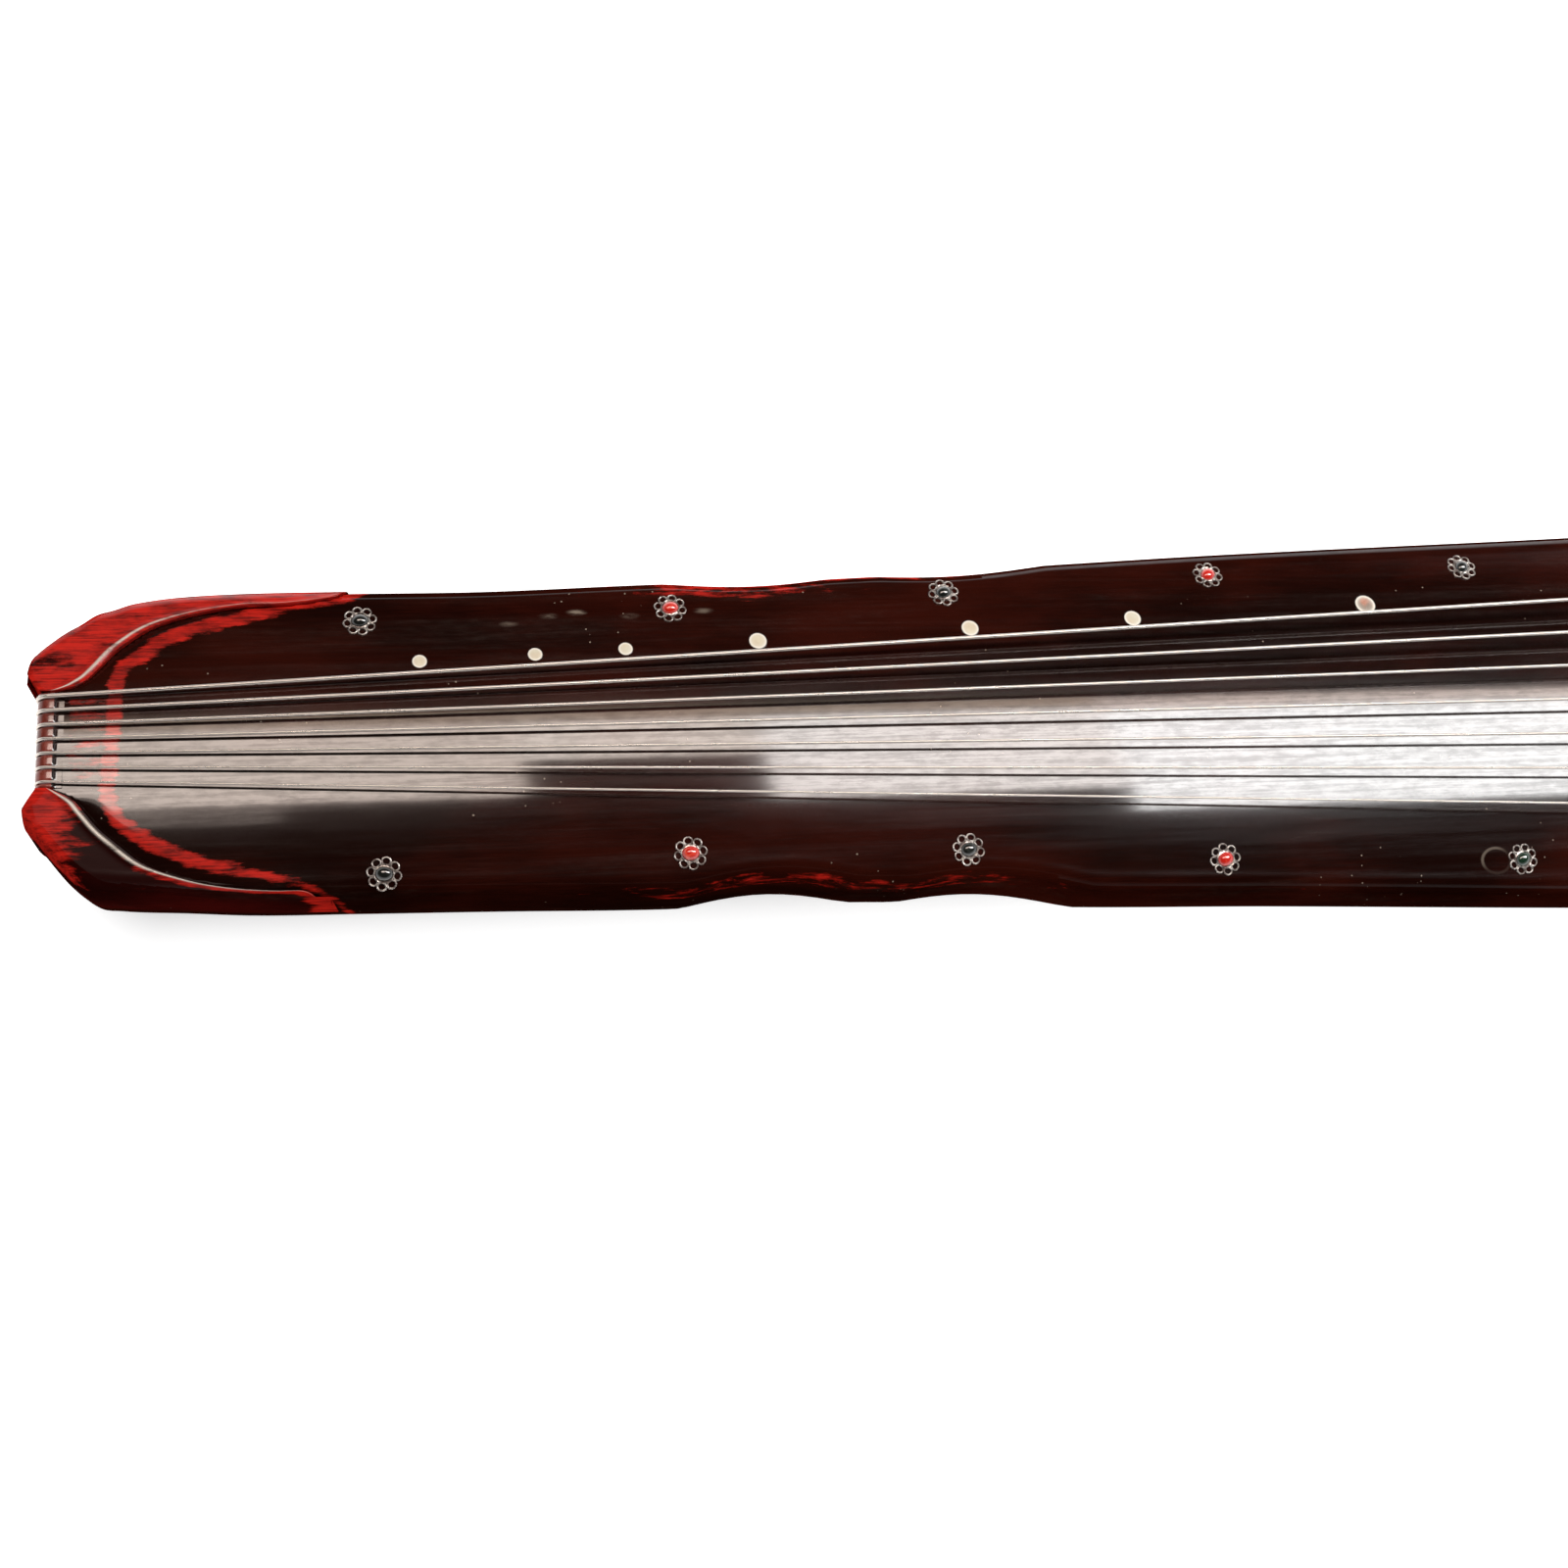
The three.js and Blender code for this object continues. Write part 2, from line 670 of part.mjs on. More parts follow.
// The lining at the roof of the peg pool, with a hole for each cord.
function makePegPlate() {
  const plan = poolPlan(holePlace - pegPoolWidth / 2 + glueGap, pegPoolWidth - 2 * glueGap,
    (pegPoolHalf - glueGap) * 2, poolCornerRadius);
  stringNumbers.forEach((i) => {
    const hole = new THREE.Path();
    hole.absarc(holePlace, pegY(i), cordHole / 2, 0, Math.PI * 2, true);
    plan.holes.push(hole);
  });
  return raisedPlan(plan, bottomThickness - pegPlateThickness, bottomThickness);
}

function makeTailCorner(side) {
  const corner = solidOf(bodySurface(cornerProud)).intersect(cornerCut(side, 0));
  return surfaceOf(corner);
}

function makeHeavenPost() {
  const radius = heavenPostDiameter / 2;
  const pillar = turned([[0, seamHeight], [radius, seamHeight], [radius, bodyHeight], [0, bodyHeight]],
    roundSides, heavenPostPlace, 0);
  return surfaceOf(solidOf(pillar).intersect(solidOf(chamberSurface(glueGap))));
}

function makeEarthPost() {
  const half = earthPostSide / 2;
  const pillar = block(at(earthPostPlace - half, -half, seamHeight), at(earthPostPlace + half, half, bodyHeight));
  return surfaceOf(solidOf(pillar).intersect(solidOf(chamberSurface(glueGap))));
}

// The bridge: a tapered bar across the head, its top crowned and its foot fitted to the arched board.
function makeBridge() {
  const half = spanAtBridge / 2 + bridgeBeyondStrings;
  const rings = [];
  const steps = archSteps * 2;
  for (let i = 0; i <= steps; i += 1) {
    const y = half * ((2 * i) / steps - 1);
    const top = bridgeTopAt(y);
    const toEnd = Math.min(half - Math.abs(y), bridgeEndRound);
    const fall = bridgeEndRound - Math.sqrt(bridgeEndRound ** 2 - (bridgeEndRound - toEnd) ** 2);
    rings.push([
      at(scaleLength - bridgeBase / 2, y, surface(scaleLength, y) + glueGap),
      at(scaleLength + bridgeBase, y, surface(scaleLength + bridgeBase, y) + glueGap),
      at(scaleLength + bridgeTop, y, top - fall),
      at(scaleLength, y, top - fall),
    ]);
  }
  return skin(rings);
}

// The thin strip behind the bridge, bent to the arch, with a hole for each cord.
function makeStringHoleStrip() {
  const start = scaleLength + bridgeBase + stripGap;
  const end = start + stripWidth;
  const half = spanAtBridge / 2 + bridgeBeyondStrings;
  const rings = [];
  const steps = archSteps * 2;
  for (let i = 0; i <= steps; i += 1) {
    const y = half * ((2 * i) / steps - 1);
    rings.push([
      at(start, y, surface(start, y) + glueGap),
      at(end, y, surface(end, y) + glueGap),
      at(end, y, surface(end, y) + glueGap + stripThickness),
      at(start, y, surface(start, y) + glueGap + stripThickness),
    ]);
  }
  let strip = solidOf(skin(rings));
  stringNumbers.forEach((i) => {
    const hole = turned([[0, 0], [cordHole / 2, 0], [cordHole / 2, bodyHeight + overrun],
      [0, bodyHeight + overrun]], cordSides, holePlace, pegY(i));
    strip = strip.subtract(solidOf(hole));
  });
  return surfaceOf(strip);
}

// A turned peg: a neck that bears on the plate, a collar, a swelling grip and a tapered tip.
function makePeg(i) {
  const top = bottomThickness - pegPlateThickness - glueGap;
  const low = pegFloorGap - standHeight;
  const length = top - low;
  const [neck, grip, tip] = [pegNeckDiameter / 2, pegDiameter / 2, pegTipDiameter / 2];
  const profile = [
    [0, top - pegBoreDepth], [pegBore / 2, top - pegBoreDepth], [pegBore / 2, top], [neck, top],
    [neck, top - length * pegNeckShare],
    ...pegGripShares.map(([across, down]) => [grip * across, top - length * down]),
    [tip, low], [0, low],
  ];
  return turned(profile, pegSides, holePlace, pegY(i));
}

// A tuning cord: up from the peg, over the strip, round its string before the knot, and back down.
function cordRoute(i) {
  const half = (cordDiameter + cordGap) / 2;
  const hole = pegY(i);
  const stringY = bridgeY(i);
  const low = bottomThickness - pegPlateThickness - glueGap - cordInPeg;
  const edge = surface(holePlace, hole) + glueGap + stripThickness;
  const rest = restGap + cordDiameter / 2;
  const top = bridgeTopAt(stringY) + stringDiameters[i] + restGap + rest;
  const brink = scaleLength + bridgeTop;
  const eye = (knotDiameter + cordDiameter) / 2 + restGap;
  const eyePlace = scaleLength + knotPlace - knotDiameter / 2 - restGap - cordDiameter / 2;
  const leg = (side) => {
    const points = [at(holePlace, hole + side * half, low)];
    for (let step = 0; step <= bendSteps; step += 1) {
      const angle = ((Math.PI / 2) * step) / bendSteps;
      points.push(at(
        holePlace - cordBend * (1 - Math.cos(angle)),
        hole + side * half,
        edge + rest - cordBend + cordBend * Math.sin(angle) + cordBend / 2,
      ));
    }
    points.push(at((holePlace + brink) / 2, (hole + stringY) / 2 + side * half * cordSpreadShare, (edge + top) / 2 + rest));
    points.push(at(brink + knotPlace / 2, stringY + side * eye, top));
    return points;
  };
  const there = leg(1);
  const back = leg(-1).reverse();
  const bight = [];
  for (let step = 1; step < bendSteps; step += 1) {
    const angle = (Math.PI * step) / bendSteps;
    bight.push(at(eyePlace + cordBend * (1 - Math.sin(angle)), stringY + eye * Math.cos(angle), top));
  }
  return [...there, ...bight, ...back];
}

// A string: knot, bridge, nut, down the tail end, back under the body and wound round its foot.
function stringRoute(i) {
  const diameter = stringDiameters[i];
  const radius = diameter / 2;
  const onFarFoot = i < farFootStrings;
  const [y0, y1] = [spread(i, spanAtNut), bridgeY(i)];
  const overNut = nutCrest + restGap + radius;
  const overBridge = bridgeTopAt(y1) + restGap + radius;
  const bend = nutRound + restGap + radius;
  const route = [
    at(scaleLength + knotPlace, y1, overBridge),
    at(scaleLength, y1, overBridge),
  ];
  const turnX = nutRound - nutReach;
  for (let step = 0; step <= bendSteps; step += 1) {
    const angle = ((Math.PI / 2) * step) / bendSteps;
    route.push(at(turnX - bend * Math.sin(angle), y0, overNut - bend + bend * Math.cos(angle)));
  }
  const under = nutRound - restProud - bend;
  for (let step = 0; step <= bendSteps; step += 1) {
    const angle = ((Math.PI / 2) * step) / bendSteps;
    route.push(at(turnX - bend * Math.cos(angle), y0, under + bend - bend * Math.sin(angle)));
  }
  const first = onFarFoot ? 0 : farFootStrings;
  let level = footCollarHeight + restGap;
  for (let other = first; other < i; other += 1) {
    level += stringDiameters[other] + windingTurns * (stringDiameters[other] + turnGap) + stringGap;
  }
  const side = onFarFoot ? 1 : -1;
  const axisY = (side * footSpread) / 2;
  const reel = footNeckDiameter / 2 + restGap + radius;
  const pitch = diameter + turnGap;
  const start = turnX;
  const away = Math.hypot(footPlace - start, axisY - y0);
  const bearing = Math.atan2(axisY - y0, footPlace - start);
  const begin = bearing - side * (Math.PI - Math.acos(reel / away));
  const steps = Math.round(windingTurns * turnSteps);
  for (let step = 0; step <= steps; step += 1) {
    const turn = step / turnSteps;
    const angle = begin + side * 2 * Math.PI * turn;
    route.push(at(
      footPlace + reel * Math.cos(angle),
      axisY + reel * Math.sin(angle),
      -(level + radius + pitch * turn),
    ));
  }
  return route;
}

// The smallest distance between two stretches of one winding, over what its own thickness takes.
function windingGap(i) {
  const route = stringRoute(i);
  const turns = route.slice(-Math.round(windingTurns * turnSteps) - 1);
  let least = Infinity;
  turns.forEach((a, first) => {
    turns.slice(first + Math.round(turnSteps / 2)).forEach((b) => {
      least = Math.min(least, a.distanceTo(b) - stringDiameters[i]);
    });
  });
  return least;
}

function makeString(i) {
  const route = stringRoute(i);
  const line = solidOf(drawnWire(route, stringDiameters[i], wireSides));
  const knotRadius = knotDiameter / 2;
  const knot = new THREE.SphereGeometry(knotRadius, cordSides, bendSteps)
    .translate(route[0].x, route[0].y, route[0].z + knotRadius - stringDiameters[i] / 2);
  return surfaceOf(line.add(solidOf(knot)));
}

// A goose foot: square tenon, collar, waisted neck that the strings wind on, and a round sole.
function makeGooseFoot(y) {
  const [collar, neck, sole] = [footCollarDiameter / 2, footNeckDiameter / 2, footSoleDiameter / 2];
  const low = -standHeight;
  const profile = [
    [0, -glueGap], [collar, -glueGap], [collar, -footCollarHeight], [neck, -footCollarHeight],
    [neck, low + footSoleHeight], [sole, low + footSoleHeight * footEdgeShare], [sole, low], [0, low],
  ];
  const turnedFoot = solidOf(turned(profile, roundSides, footPlace, y));
  const half = tenonSide / 2;
  const tenon = block(at(footPlace - half, y - half, -footCollarHeight), at(footPlace + half, y + half, tenonLength));
  return surfaceOf(turnedFoot.add(solidOf(tenon)));
}

function makeFootSocket(y) {
  return surfaceOf(socketBlock(y, 0).subtract(mortise(y)));
}

// A peg guard: a fin along the instrument, narrower at its sole, outside the end of the peg pool.
function makePegGuard(side) {
  const half = guardLength / 2;
  const sole = half * guardSoleShare;
  const profile = new THREE.Shape();
  profile.moveTo(holePlace - half, -glueGap);
  profile.quadraticCurveTo(holePlace - half, -standHeight / 2, holePlace - sole, -standHeight);
  profile.lineTo(holePlace + sole, -standHeight);
  profile.quadraticCurveTo(holePlace + half, -standHeight / 2, holePlace + half, -glueGap);
  const inner = pegPoolHalf + guardGap;
  const edges = [side * inner, side * (inner + guardThickness)].sort((a, b) => a - b);
  return drawnProfile(profile, edges[0], edges[1]);
}

const guqin = new THREE.Group();
guqin.position.set((tailReach - headEnd) / 2, 0, standHeight);

function add(name, geometry, material) {
  const mesh = new THREE.Mesh(geometry, material);
  mesh.name = name;
  guqin.add(mesh);
}

add('top_board', makeTopBoard(), lacquer);
add('bottom_board', makeBottomBoard(), lacquer);
add('heaven_post', makeHeavenPost(), paleWood);
add('earth_post', makeEarthPost(), paleWood);
add('bridge', makeBridge(), hardwood);
add('string_hole_strip', makeStringHoleStrip(), hardwood);
add('tail_nut', drawnProfile(nutProfile(), -nutHalf, nutHalf), hardwood);
add('tail_nut_rest', drawnProfile(restProfile(), -nutHalf, nutHalf), hardwood);
add('peg_plate', makePegPlate(), hardwood);
[['near', -1], ['far', 1]].forEach(([name, side]) => {
  const y = (side * footSpread) / 2;
  add(`tail_corner_${name}`, makeTailCorner(side), redLacquer);
  add(`peg_guard_${name}`, makePegGuard(side), hardwood);
  add(`goose_foot_${name}`, makeGooseFoot(y), hardwood);
  add(`foot_socket_${name}`, makeFootSocket(y), paleWood);
});
stringNumbers.forEach((i) => {
  const number = i + 1;
  add(`peg_${number}`, makePeg(i), hardwood);
  add(`tuning_cord_${number}`, drawnWire(cordRoute(i), cordDiameter, cordSides), silk);
  add(`string_${number}`, makeString(i), wire);
});
huiScaleShares.forEach((_, i) => {
  add(`hui_${huiScaleShares.length - i}`, huiDisc(i, 0, 0), pearl);
});

const leastGap = Math.min(...stringNumbers.map((i) => windingGap(i)));
console.log(`Least gap inside a string winding: ${leastGap.toFixed(2)} mm`);

export default guqin;
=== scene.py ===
import bmesh
import bpy
import numpy as np
from mathutils import Matrix


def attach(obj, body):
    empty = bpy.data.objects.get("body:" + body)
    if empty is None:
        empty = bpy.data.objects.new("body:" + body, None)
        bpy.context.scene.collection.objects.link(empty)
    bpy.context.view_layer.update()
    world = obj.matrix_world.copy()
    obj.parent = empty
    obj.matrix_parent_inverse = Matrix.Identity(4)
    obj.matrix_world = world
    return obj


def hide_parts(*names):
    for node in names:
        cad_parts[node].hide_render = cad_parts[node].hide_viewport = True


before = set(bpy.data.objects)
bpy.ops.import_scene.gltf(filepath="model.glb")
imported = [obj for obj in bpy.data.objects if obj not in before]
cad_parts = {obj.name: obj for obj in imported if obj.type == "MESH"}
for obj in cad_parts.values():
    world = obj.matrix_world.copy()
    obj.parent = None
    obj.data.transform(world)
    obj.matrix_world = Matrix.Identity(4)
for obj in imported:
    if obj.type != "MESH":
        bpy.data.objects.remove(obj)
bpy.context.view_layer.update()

# Measure. A maker measures the instrument in millimetres: along the string from the crest of the tail nut,
# across it away from the player, and up from the flat underside. in_frame turns that into the frame.
NUT_FROM_MIDDLE = 603.5
STAND_HEIGHT = 27.0


def in_frame(along, across, up):
    """Metres of the frame: (along - 603.5, across, up + 27) / 1000, stacked as the last axis."""
    places = np.broadcast_arrays(along - NUT_FROM_MIDDLE, across, np.asarray(up) + STAND_HEIGHT)
    return np.stack(places, axis=-1).astype(float) / 1000


# Camera. It looks down from above the player's side of the tail, 0.7 m over the board, close enough that
# the head runs out of the picture. The lens has the photograph's own angle of view.
CAMERA_PLACE = (141.7, -275.4, 753.0)
CAMERA_YAW, CAMERA_PITCH, CAMERA_ROLL = 0.51558, 1.18566, 0.45092
PICTURE_SIDE, FOCAL_PIXELS, FILM_WIDTH = 1600, 1909.8, 36.0
NEAR_CLIP, FAR_CLIP = 0.02, 60.0


def stood(name, data, place, axes):
    """A camera or lamp at a place of the frame, with its right, up and back axes as columns of its turn."""
    made = bpy.data.objects.new(name, data)
    bpy.context.scene.collection.objects.link(made)
    stance = np.eye(4)
    stance[:3, :3], stance[:3, 3] = np.stack(axes, axis=1), place
    made.matrix_world = Matrix(stance.tolist())
    return made


ahead = np.array([np.sin(CAMERA_YAW) * np.cos(CAMERA_PITCH), np.cos(CAMERA_YAW) * np.cos(CAMERA_PITCH),
                  -np.sin(CAMERA_PITCH)])
level = np.array([np.cos(CAMERA_YAW), -np.sin(CAMERA_YAW), 0.0])
above = np.cross(level, ahead)
right = np.cos(CAMERA_ROLL) * level + np.sin(CAMERA_ROLL) * above
upward = np.cos(CAMERA_ROLL) * above - np.sin(CAMERA_ROLL) * level

lens = bpy.data.cameras.new("photo_camera")
lens.sensor_fit = "HORIZONTAL"
lens.sensor_width = FILM_WIDTH
lens.lens = FOCAL_PIXELS / PICTURE_SIDE * FILM_WIDTH
lens.clip_start, lens.clip_end = NEAR_CLIP, FAR_CLIP
bpy.context.scene.camera = stood("photo_camera", lens, in_frame(*CAMERA_PLACE), [right, upward, -ahead])


# Strings. Seven smooth wound strings, thickest on the far side. Each runs from its knot behind the bridge
# over the nut, bends down the tail end and back under the body, and is wound round its goose foot.
STRING_DIAMETERS = (1.7, 1.55, 1.4, 1.3, 1.2, 1.1, 1.0)
STRINGS = np.arange(7)
SCALE, BODY_HEIGHT = 1110.0, 50.0
NUT_CREST, NUT_TURN, NUT_ROUND, REST_PROUD = 50.9, -1.5, 3.5, 1.2
BRIDGE_TOP, BRIDGE_CROWN = 61.9, 840.0
SPAN_AT_NUT, SPAN_AT_BRIDGE, BAND_SHIFT = 34.7, 141.5, -4.5
REST_GAP = 0.3
KNOT_PLACE, KNOT_DIAMETER = 8.5, 4.6
FOOT_PLACE, FOOT_AXIS, REEL_RADIUS, COLLAR_HEIGHT = 320.0, 37.0, 8.5, 2.0
FAR_FOOT_STRINGS, WINDING_TURNS, WINDING_POINTS = 4, 1.5, 46
TURN_GAP, STRING_GAP = 0.5, 0.8
WINDING_PITCH = 0.00035
STRING_COLOUR, STRING_SHADE = (0.80, 0.75, 0.70, 1), (0.55, 0.49, 0.44, 1)


def circle(steps):
    """Angles of a full turn in so many steps."""
    return np.arange(steps) * 2 * np.pi / steps


def quarter(steps):
    return np.linspace(0, np.pi / 2, steps)


def stacked(along, across, up):
    """Places from three measures, each a number, a row, a column or a whole grid."""
    return np.stack(np.broadcast_arrays(along, across, up), -1).astype(float)


def at_nut(number):
    return SPAN_AT_NUT * (1 / 2 - number / 6)


def at_bridge(number):
    return SPAN_AT_BRIDGE * (1 / 2 - number / 6) + BAND_SHIFT


def bridge_top(across):
    """Height of the bridge's crowned top: a shallow arc with its highest point on the centre line."""
    return BRIDGE_TOP - across**2 / (2 * BRIDGE_CROWN)


def string_route(number):
    """Points of one string's middle line: straight from knot to nut, a quarter turn over the nut, a quarter
    turn under the rest, then a helix of one and a half turns down the reel of its foot."""
    thick, y0, y1 = STRING_DIAMETERS[number], at_nut(number), at_bridge(number)
    clear, turn = REST_GAP + thick / 2, quarter(9)
    bend, reel, low = NUT_ROUND + clear, REEL_RADIUS + clear, NUT_ROUND - REST_PROUD
    side, first = (1, 0) if number < FAR_FOOT_STRINGS else (-1, FAR_FOOT_STRINGS)
    level_down = COLLAR_HEIGHT + clear + sum(
        d + WINDING_TURNS * (d + TURN_GAP) + STRING_GAP for d in STRING_DIAMETERS[first:number])
    axis = side * FOOT_AXIS
    away = np.hypot(FOOT_PLACE - NUT_TURN, axis - y0)
    begin = np.arctan2(axis - y0, FOOT_PLACE - NUT_TURN) - side * (np.pi - np.arccos(reel / away))
    wound = np.linspace(0, WINDING_TURNS, WINDING_POINTS)
    angle = begin + side * 2 * np.pi * wound
    return np.concatenate([
        stacked([SCALE + KNOT_PLACE, SCALE + 0.5, SCALE - 0.5], y1, bridge_top(y1) + clear),
        stacked(NUT_TURN - bend * np.sin(turn), y0, NUT_CREST + clear - bend * (1 - np.cos(turn))),
        stacked(NUT_TURN - bend * np.cos(turn), y0, low - bend * np.sin(turn)),
        stacked(FOOT_PLACE + reel * np.cos(angle), axis + reel * np.sin(angle),
                -level_down - (thick + TURN_GAP) * wound)])


def unit(rows):
    """Directions of length 1, one a row."""
    return rows / np.linalg.norm(rows, axis=1, keepdims=True)


def rings_along(route, across, radius, around=10, lobes=0, depth=0.0, pitch=1.0):
    """Rings of a round bar on a route, each square to it: middle + r (cos a * e1 + sin a * e2), where e1 is
    the given direction made square to the route and e2 = heading x e1. A twisted bar has
    r = radius (1 - depth + depth |cos(lobes / 2 (a - 2 pi s / pitch))|) at a length s along it."""
    heading = unit(np.gradient(route, axis=0))
    first = unit(across - np.sum(across * heading, axis=1, keepdims=True) * heading)
    second = np.cross(heading, first)
    run = np.concatenate([[0], np.cumsum(np.linalg.norm(np.diff(route, axis=0), axis=1))])
    turn = circle(around)
    twist = np.abs(np.cos(lobes / 2 * (turn - 2 * np.pi * run[:, None] / pitch)))
    swell = radius * (1 - depth + depth * twist)
    outward = np.cos(turn)[:, None] * first[:, None] + np.sin(turn)[:, None] * second[:, None]
    return route[:, None] + swell[..., None] * outward, run


def mark(mesh, mask, values):
    mesh.attributes.new(mask, "FLOAT", "POINT").data.foreach_set("value", values.astype(np.float32))


def grid_mesh(rings, run=None, closed=False, masks=()):
    """A piece from a grid of places in millimetres, rows x columns x 3. The columns run round and meet, and
    so do the rows if closed; otherwise each end row gets a fan to its middle. The UV map is the share of the
    way round and the length along. Masks are named values of the grid, kept as vertex attributes."""
    rows, columns = rings.shape[:2]
    places = in_frame(*np.moveaxis(rings, -1, 0)).reshape(-1, 3)
    r, c = (axis.ravel() for axis in np.indices((rows - (not closed), columns)))
    this, after, beside = r * columns, (r + 1) % rows * columns, (c + 1) % columns
    faces = np.stack([this + c, this + beside, after + beside, after + c], 1).tolist()
    reach = np.arange(rows + 1.0) if run is None else np.append(run, 2 * run[-1] - run[-2]) / 1000
    uv = np.stack([np.stack([c, c + 1, c + 1, c], 1) / columns, reach[np.stack([r, r, r + 1, r + 1], 1)]], -1)
    uv = uv.reshape(-1, 2)
    if not closed:
        places = np.concatenate([places, [places[:columns].mean(0), places[-columns:].mean(0)]])
        c, middle, last = np.arange(columns), rows * columns, (rows - 1) * columns
        beside = (c + 1) % columns
        faces += np.stack([0 * c + middle, beside, c], 1).tolist()
        faces += np.stack([0 * c + middle + 1, last + c, last + beside], 1).tolist()
        uv = np.concatenate([uv, np.zeros((6 * columns, 2))])
    mesh = bpy.data.meshes.new("grid")
    mesh.from_pydata(places.tolist(), [], faces)
    mesh.uv_layers.new(name="run").data.foreach_set("uv", uv.ravel())
    for mask, values in dict(masks).items():
        filled = np.zeros(len(places))
        filled[:rows * columns] = np.broadcast_to(values, (rows, columns)).ravel()
        mark(mesh, mask, filled)
    return mesh


def piece(name, mesh, finishes, nodes, body="qin", smooth=45):
    """An object from a mesh: faces turned outwards, shaded smooth up to an angle in degrees between faces,
    finished, tied to its body, and standing for its CAD nodes."""
    cleaned = bmesh.new()
    cleaned.from_mesh(mesh)
    bmesh.ops.remove_doubles(cleaned, verts=cleaned.verts, dist=1e-7)
    bmesh.ops.dissolve_degenerate(cleaned, edges=cleaned.edges, dist=1e-7)
    bmesh.ops.recalc_face_normals(cleaned, faces=cleaned.faces)
    for edge in cleaned.edges:
        edge.smooth = bool(len(edge.link_faces) != 2 or edge.calc_face_angle() < np.radians(smooth))
    for face in cleaned.faces:
        face.smooth = True
    cleaned.to_mesh(mesh)
    cleaned.free()
    mesh.name = name
    made = bpy.data.objects.new(name, mesh)
    bpy.context.scene.collection.objects.link(made)
    for finish in finishes:
        mesh.materials.append(finish)
    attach(made, body)
    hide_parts(*nodes)


class Value:
    """An output of a shader node. Arithmetic on it adds Math nodes, and a name picks another output."""

    def __init__(self, node, output=0):
        self.node, self.tree, self.socket = node, node.id_data, node.outputs[output]

    def __getitem__(self, output):
        return Value(self.node, output)

    def math(self, operation, other=0.0):
        return wired(self.tree, "Math", {0: self, 1: other}, operation=operation)

    def __add__(self, other):
        return self.math("ADD", other)

    def __sub__(self, other):
        return self.math("SUBTRACT", other)

    def __mul__(self, other):
        return self.math("MULTIPLY", other)


def feed(node, inputs):
    """Links or sets inputs of a node, by socket name or number."""
    for key, value in dict(inputs).items():
        if isinstance(value, Value):
            node.id_data.links.new(value.socket, node.inputs[key])
        else:
            node.inputs[key].default_value = value


def wired(tree, kind, inputs=(), **settings):
    """The first output of a new shader node with its inputs and settings."""
    made = tree.nodes.new("ShaderNode" + kind)
    for key, value in settings.items():
        setattr(made, key, value)
    feed(made, inputs)
    return Value(made)


def between(value, low, high, to_low=0.0, to_high=1.0):
    """A value carried smoothly from one range to another, and held at the ends."""
    return wired(value.tree, "MapRange", {"Value": value, "From Min": low, "From Max": high, "To Min": to_low,
                                          "To Max": to_high}, interpolation_type="SMOOTHSTEP")


def blended(share, first, second):
    """A colour that goes from the first to the second with a share."""
    return wired(share.tree, "Mix", {0: share, 6: first, 7: second}, data_type="RGBA")[2]


def own_place(tree):
    return wired(tree, "TexCoord")["Object"]


def clouds(tree, cells, detail=3.0, roughness=0.55, drift=0.0):
    """Noise on the object's own place, with so many cells a metre along, across and up."""
    stretched = wired(tree, "Mapping", {"Vector": own_place(tree), "Scale": cells})
    return wired(tree, "TexNoise", {"Vector": stretched, "Scale": 1.0, "Detail": detail,
                                    "Roughness": roughness, "Distortion": drift})


def finish(name):
    """A new material and its node tree."""
    made = bpy.data.materials.new(name)
    made.use_nodes = True
    return made, made.node_tree


def dress(tree, height=None, rise=0.0001, **inputs):
    """Feeds a finish's shader, by socket name, and its bump: a height, and how far it rises in metres."""
    if height:
        inputs["Normal"] = wired(tree, "Bump", {"Height": height, "Distance": rise, "Strength": 1.0})
    feed(tree.nodes["Principled BSDF"], {name.replace("_", " "): value for name, value in inputs.items()})


string_finish, tree = finish("wound_string")
length_along = wired(tree, "SeparateXYZ", {0: wired(tree, "TexCoord")["UV"]})["Y"]
handled = clouds(tree, (60, 400, 400))
dress(tree, Base_Color=blended(handled, STRING_COLOUR, STRING_SHADE), Metallic=0.85,
      Roughness=between(handled, 0.3, 0.7, 0.24, 0.4),
      height=(length_along * (2 * np.pi / WINDING_PITCH)).math("SINE"), rise=0.00001)

ball, turn = np.linspace(-1, 1, 12)[:, None], circle(10)
swell = np.sqrt(np.clip(1 - ball**2, 0.0004, 1)) * (0.94 + 0.06 * np.cos(3 * turn + 4 * ball))
knot = stacked(ball, swell * np.cos(turn), swell * np.sin(turn)) * KNOT_DIAMETER / 2
for number in STRINGS:
    route, thick = string_route(number), STRING_DIAMETERS[number]
    going = np.gradient(route, axis=0)
    wound = (np.arange(len(route)) >= len(route) - WINDING_POINTS)[:, None]
    across = np.where(wound, stacked(-going[:, 1], going[:, 0], 0), [0, 1, 0])
    knotted = route[0] + [0, 0, (KNOT_DIAMETER - thick) / 2] + knot
    for name, mesh in (("wound_string", grid_mesh(*rings_along(route, across, thick / 2))),
                       ("string_knot", grid_mesh(knotted))):
        piece(f"{name}_{number + 1}", mesh, [string_finish], [f"string_{number + 1}"])


